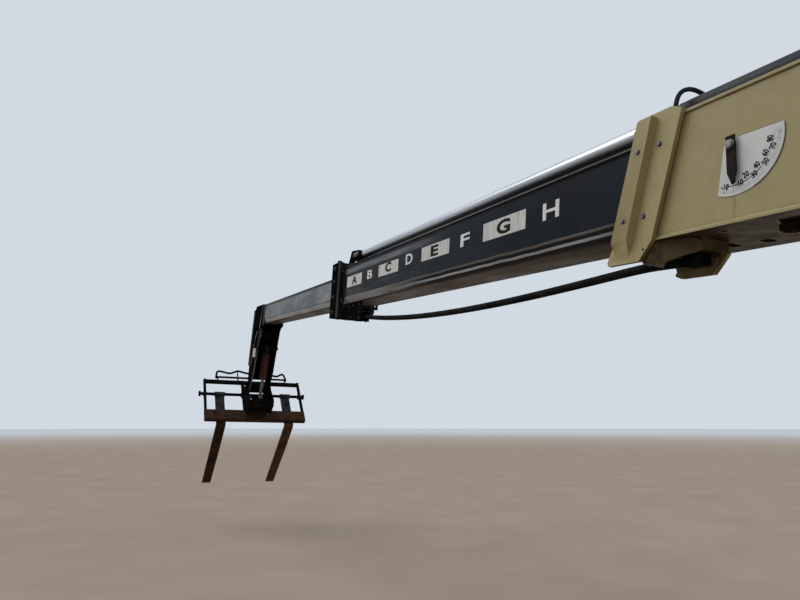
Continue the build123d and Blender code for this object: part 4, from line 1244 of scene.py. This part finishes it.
bm = bmesh.new()
for x in (2.3, 3.7):
    # strap over the barrel on each saddle, with its four bolts
    arc = [(x, 0.0640 * math.sin(t), 0.414 + 0.0640 * math.cos(t)) for t in (math.radians(a) for a in range(-102, 103, 6))]
    ra = []
    for p in arc:
        n = Vector((0, p[1], p[2] - 0.414)).normalized()
        ra.append([bm.verts.new(Vector(p) + Vector((dx, 0, 0)) + n * dn) for dx, dn in
                   ((0.018, -0.0030), (0.018, 0.0015), (0.052, 0.0015), (0.052, -0.0030))])
    skin(bm, ra)
    for y in (-0.0745, 0.0745):
        block(bm, (x + 0.008, y - 0.0130, 0.3955), (x + 0.062, y + 0.0130, 0.4010), 0.001)
        for dx in (0.020, 0.050):
            bolt(bm, (x + dx, y, 0.4010), (0, 0, 1), 0.0085, phase=x + y)
finish_piece("saddle_straps", bm, M["black_dusty"], "outer_boom", 30)

# pin retainers at the barrel's anchor and the rod's bracket, with a bolt each
bm = bmesh.new()
for s in (-1, 1):
    block(bm, (0.835, 0.0950 if s > 0 else -0.101, 0.384), (0.885, 0.1010 if s > 0 else -0.095, 0.444), 0.002)
    bolt(bm, (0.860, s * 0.101, 0.432), (0, s, 0), 0.008)
finish_piece("anchor_retainers", bm, M["zinc"], "outer_boom", 30)
bm = bmesh.new()
for s in (-1, 1):
    block(bm, (9.192, 0.0700 if s > 0 else -0.076, 0.394), (9.298, 0.0760 if s > 0 else -0.070, 0.434), 0.002)
    lathe(bm, (9.282, s * 0.0515, 0.414), (0, s, 0), [(0.011, 0), (0.011, 0.020)], 16)
    bolt(bm, (9.282, s * 0.076, 0.414), (0, s, 0), 0.009)
    lathe(bm, (9.215, s * 0.0755, 0.414), (0, s, 0), [(0.005, 0), (0.005, 0.006), (0.003, 0.010)], 10)
finish_piece("rod_pin_retainers", bm, M["bolt_dull"], "second_boom", 30)

# ferrules and nuts of the hose loop
bm = bmesh.new()
lathe(bm, (5.204, 0.120, 0.365), (0, 0, 1), [(0.0165, 0), (0.0165, 0.016)], 6)
lathe(bm, (5.2036, 0.120, 0.381), (0, 0, 1), [(0.0125, 0), (0.0138, 0.003), (0.0138, 0.026), (0.0122, 0.029)], 20)
end_dir = Vector((5.165 - 5.147, -0.080 + 0.088, 0.462 - 0.400)).normalized()
lathe(bm, Vector((5.147, -0.088, 0.398)), end_dir, [(0.0165, 0), (0.0165, 0.014)], 6)
lathe(bm, Vector((5.147, -0.088, 0.398)) + end_dir * 0.014, end_dir, [(0.0122, 0), (0.0134, 0.003), (0.0134, 0.018), (0.0120, 0.021)], 20)
finish_piece("loop_fittings", bm, M["zinc"], "outer_boom", 35)

# ------------------------------------------------------------- second collar
bm = bmesh.new()
for s in (-1, 1):
    for z in (0.268, 0.130, -0.030, -0.190):
        bolt(bm, (9.440, s * 0.215, z), (0, s, 0), 0.014, phase=z * 9)
    for z in (0.240, 0.060, -0.120):
        bolt(bm, (9.200, s * 0.1875, z), (-1, 0, 0), 0.0065, phase=z * 7)
for y in (-0.16, -0.06, 0.06, 0.16):
    bolt(bm, (9.380, y, 0.328), (0, 0, 1), 0.013, phase=y * 30)
    bolt(bm, (9.440, y, -0.252), (0, 0, -1), 0.013, phase=y * 30)
finish_piece("second_collar_bolts", bm, M["bolt_dark"], "second_boom", 30)

bm = bmesh.new()
for s in (-1, 1):
    bead(bm, [(9.340, s * 0.190, 0.215), (9.340, s * 0.190, -0.055)], (-1, 0, 0), (0, s, 0), 0.006, seed=s)
    bead(bm, [(9.225, s * 0.190, 0.215), (9.225, s * 0.190, -0.055)], (1, 0, 0), (0, s, 0), 0.005, seed=s + 2)
bead(bm, [(9.428, 0.0520, 0.328), (9.515, 0.0520, 0.328)], (0, 1, 0), (0, 0, 1), 0.006)
bead(bm, [(9.428, -0.0520, 0.328), (9.515, -0.0520, 0.328)], (0, -1, 0), (0, 0, 1), 0.006)
finish_piece("second_collar_welds", bm, M["black"], "second_boom", 60)

# bolts through the hose box, and the clamp's bolts on the carrier
bm = bmesh.new()
for x, z in ((8.830, -0.150), (8.990, -0.150), (9.140, -0.150), (9.290, -0.150)):
    bolt(bm, (x, 0.144, z), (0, 1, 0), 0.009, phase=x * 11)
for x, z in ((8.830, -0.286), (9.060, -0.262)):
    bolt(bm, (x, 0.144, z), (0, 1, 0), 0.009, phase=x * 11)
for y, z in ((0.066, -0.214), (0.118, -0.214)):
    bolt(bm, (8.790, y, z), (-1, 0, 0), 0.006, phase=z * 11)
finish_piece("hose_box_bolts", bm, M["bolt_dark"], "second_boom", 30)

# ------------------------------------------------------------ head and carriage
# light grey edge strip of the head's left side plate, and its twin on the right
bm = bmesh.new()
for s in (-1, 1):
    y = s * 0.1696
    for line, w in (([(13.300, 0.190), (13.345, 0.020), (13.430, -0.185)], 0.024),
                    ([(13.560, -0.225), (13.690, -0.330), (13.800, -0.520), (13.930, -0.790)], 0.020)):
        for (xa, za), (xb, zb) in zip(line, line[1:]):
            n = Vector((-(zb - za), 0, xb - xa)).normalized() * (w / 2)
            a, b = Vector((xa, y, za)), Vector((xb, y, zb))
            prism(bm, [a - n, a + n, b + n, b - n], (0, s * 0.004, 0), 0.001)
finish_piece("head_edge_strips", bm, M["strip"], "third_boom", 30)

# retainers and grease nipples at the head's two pins
bm = bmesh.new()
for s in (-1, 1):
    for (x, z), y, r in (((13.520, -0.500), 0.178, 0.025), ((13.980, -1.200), 0.222, 0.032)):
        lathe(bm, (x, s * y, z), (0, s, 0), [(0.006, 0), (0.006, 0.006), (0.0035, 0.011)], 12)
    block(bm, (13.478, 0.1700 if s > 0 else -0.1760, -0.522), (13.500, 0.1760 if s > 0 else -0.1700, -0.478), 0.001)
    bolt(bm, (13.4860, s * 0.1760, -0.500), (0, s, 0), 0.007)
finish_piece("head_pin_details", bm, M["bolt_dark"], "third_boom", 35)

# ports, elbows and feed pipe of the tilt cylinder
bm = bmesh.new()
for d in (0.105, 0.470):
    base = along(d, 0.0, 0.057)
    lathe(bm, base, CYL_SIDE, [(0.017, 0), (0.017, 0.014), (0.012, 0.017), (0.012, 0.026)], 6)
pipe = smooth_line([tuple(along(0.470, 0.0, 0.080)), tuple(along(0.455, 0.004, 0.090)), tuple(along(0.420, 0.010, 0.092)),
                    tuple(along(0.200, 0.014, 0.092)), tuple(along(0.140, 0.016, 0.088))], 0.012)
sweep(bm, pipe, 0.007, 10)
lathe(bm, along(0.505, 0.0, 0.0), CYL_AXIS, [(0.0585, 0), (0.0600, 0.003), (0.0600, 0.012), (0.0560, 0.0155), (0.0270, 0.0155)], 36)
finish_piece("tilt_cylinder_fittings", bm, M["bolt_dark"], "tilt_cylinder_barrel", 35)

# weld beads of the carriage: side plates to the lower bar, uprights to the bars
bm = bmesh.new()
for s in (-1, 1):
    for y in (s * 0.810, s * 0.850):
        sy = 1 if abs(y) > 0.83 else -1
        a = tipped(0.288, -0.2385, y)
        b = tipped(0.327, -0.2385, y)
        bead(bm, [tuple(a), tuple(b)], (0, s * sy, 0), CAR_W, 0.006, seed=y)
    for w in (0.398, 0.464):
        a = tipped(0.2850, w, s * 0.8100)
        b = tipped(0.3300, w, s * 0.8100)
        bead(bm, [tuple(a), tuple(b)], (0, -s, 0), CAR_W * (1 if w > 0.43 else -1), 0.005, seed=w)
finish_piece("carriage_welds", bm, M["deep"], "carriage", 60)

# ------------------------------------------------------- rear of the outer boom
bm = bmesh.new()
for s in (-1, 1):
    lathe(bm, (0.060, s * 0.240, 0.0), (0, s, 0), [(0.006, 0), (0.006, 0.006), (0.0035, 0.011)], 12)
finish_piece("pivot_nipples", bm, M["bolt_dull"], "outer_boom", 35)

# ---------------------------------------------------------------- floor, light
# the ground falls away under the raised boom, so its up direction leans in the boom's frame
GROUND_UP = Vector((0.1005, 0.0165, 0.9948)).normalized()
bpy.ops.mesh.primitive_circle_add(vertices=96, radius=300, fill_type="TRIFAN", location=(14.5, 0, -3.60))
floor = bpy.context.object
floor.name = "floor"
floor.rotation_mode = "QUATERNION"
floor.rotation_quaternion = GROUND_UP.to_track_quat("Z", "X")
p = Paint("floor_pale", rough=0.9, specular=0.0)
far = p.ramp(p.calc("SQRT", p.calc("ADD", p.times(p.x, p.x), p.times(p.y, p.y))), 26, 150)
stone = p.mix(p.ramp(p.noise(0.7, 4, 0.6), 0.3, 0.7), (0.285, 0.224, 0.172), (0.312, 0.248, 0.194))
p.color(p.mix(far, stone, (0.49, 0.50, 0.51)))
p.bump(p.noise(90, 3, 0.6), 0.04, 0.002)
floor.data.materials.append(p.mat)

world = bpy.data.worlds.new("soft_studio")
scene.world = world
world.use_nodes = True
bg = world.node_tree.nodes["Background"]
bg.inputs["Color"].default_value = (0.80, 0.87, 0.95, 1)
bg.inputs["Strength"].default_value = 0.80


def area(name, size_x, size_y, power, loc, target, tint=(1, 1, 1)):
    li = bpy.data.lights.new(name, "AREA")
    li.shape = "RECTANGLE"
    li.size, li.size_y = size_x, size_y
    li.energy = power
    li.color = tint
    ob = bpy.data.objects.new(name, li)
    ob.location = loc
    ob.rotation_euler = (Vector(target) - Vector(loc)).to_track_quat("-Z", "Y").to_euler()
    scene.collection.objects.link(ob)
    return ob


sun = bpy.data.lights.new("overcast", "SUN")
sun.energy = 1.7
sun.angle = math.radians(50)
sun_ob = bpy.data.objects.new("overcast", sun)
sun_ob.rotation_euler = (Vector((7, 0, 0)) - Vector((15, 9, 13))).to_track_quat("-Z", "Y").to_euler()
scene.collection.objects.link(sun_ob)
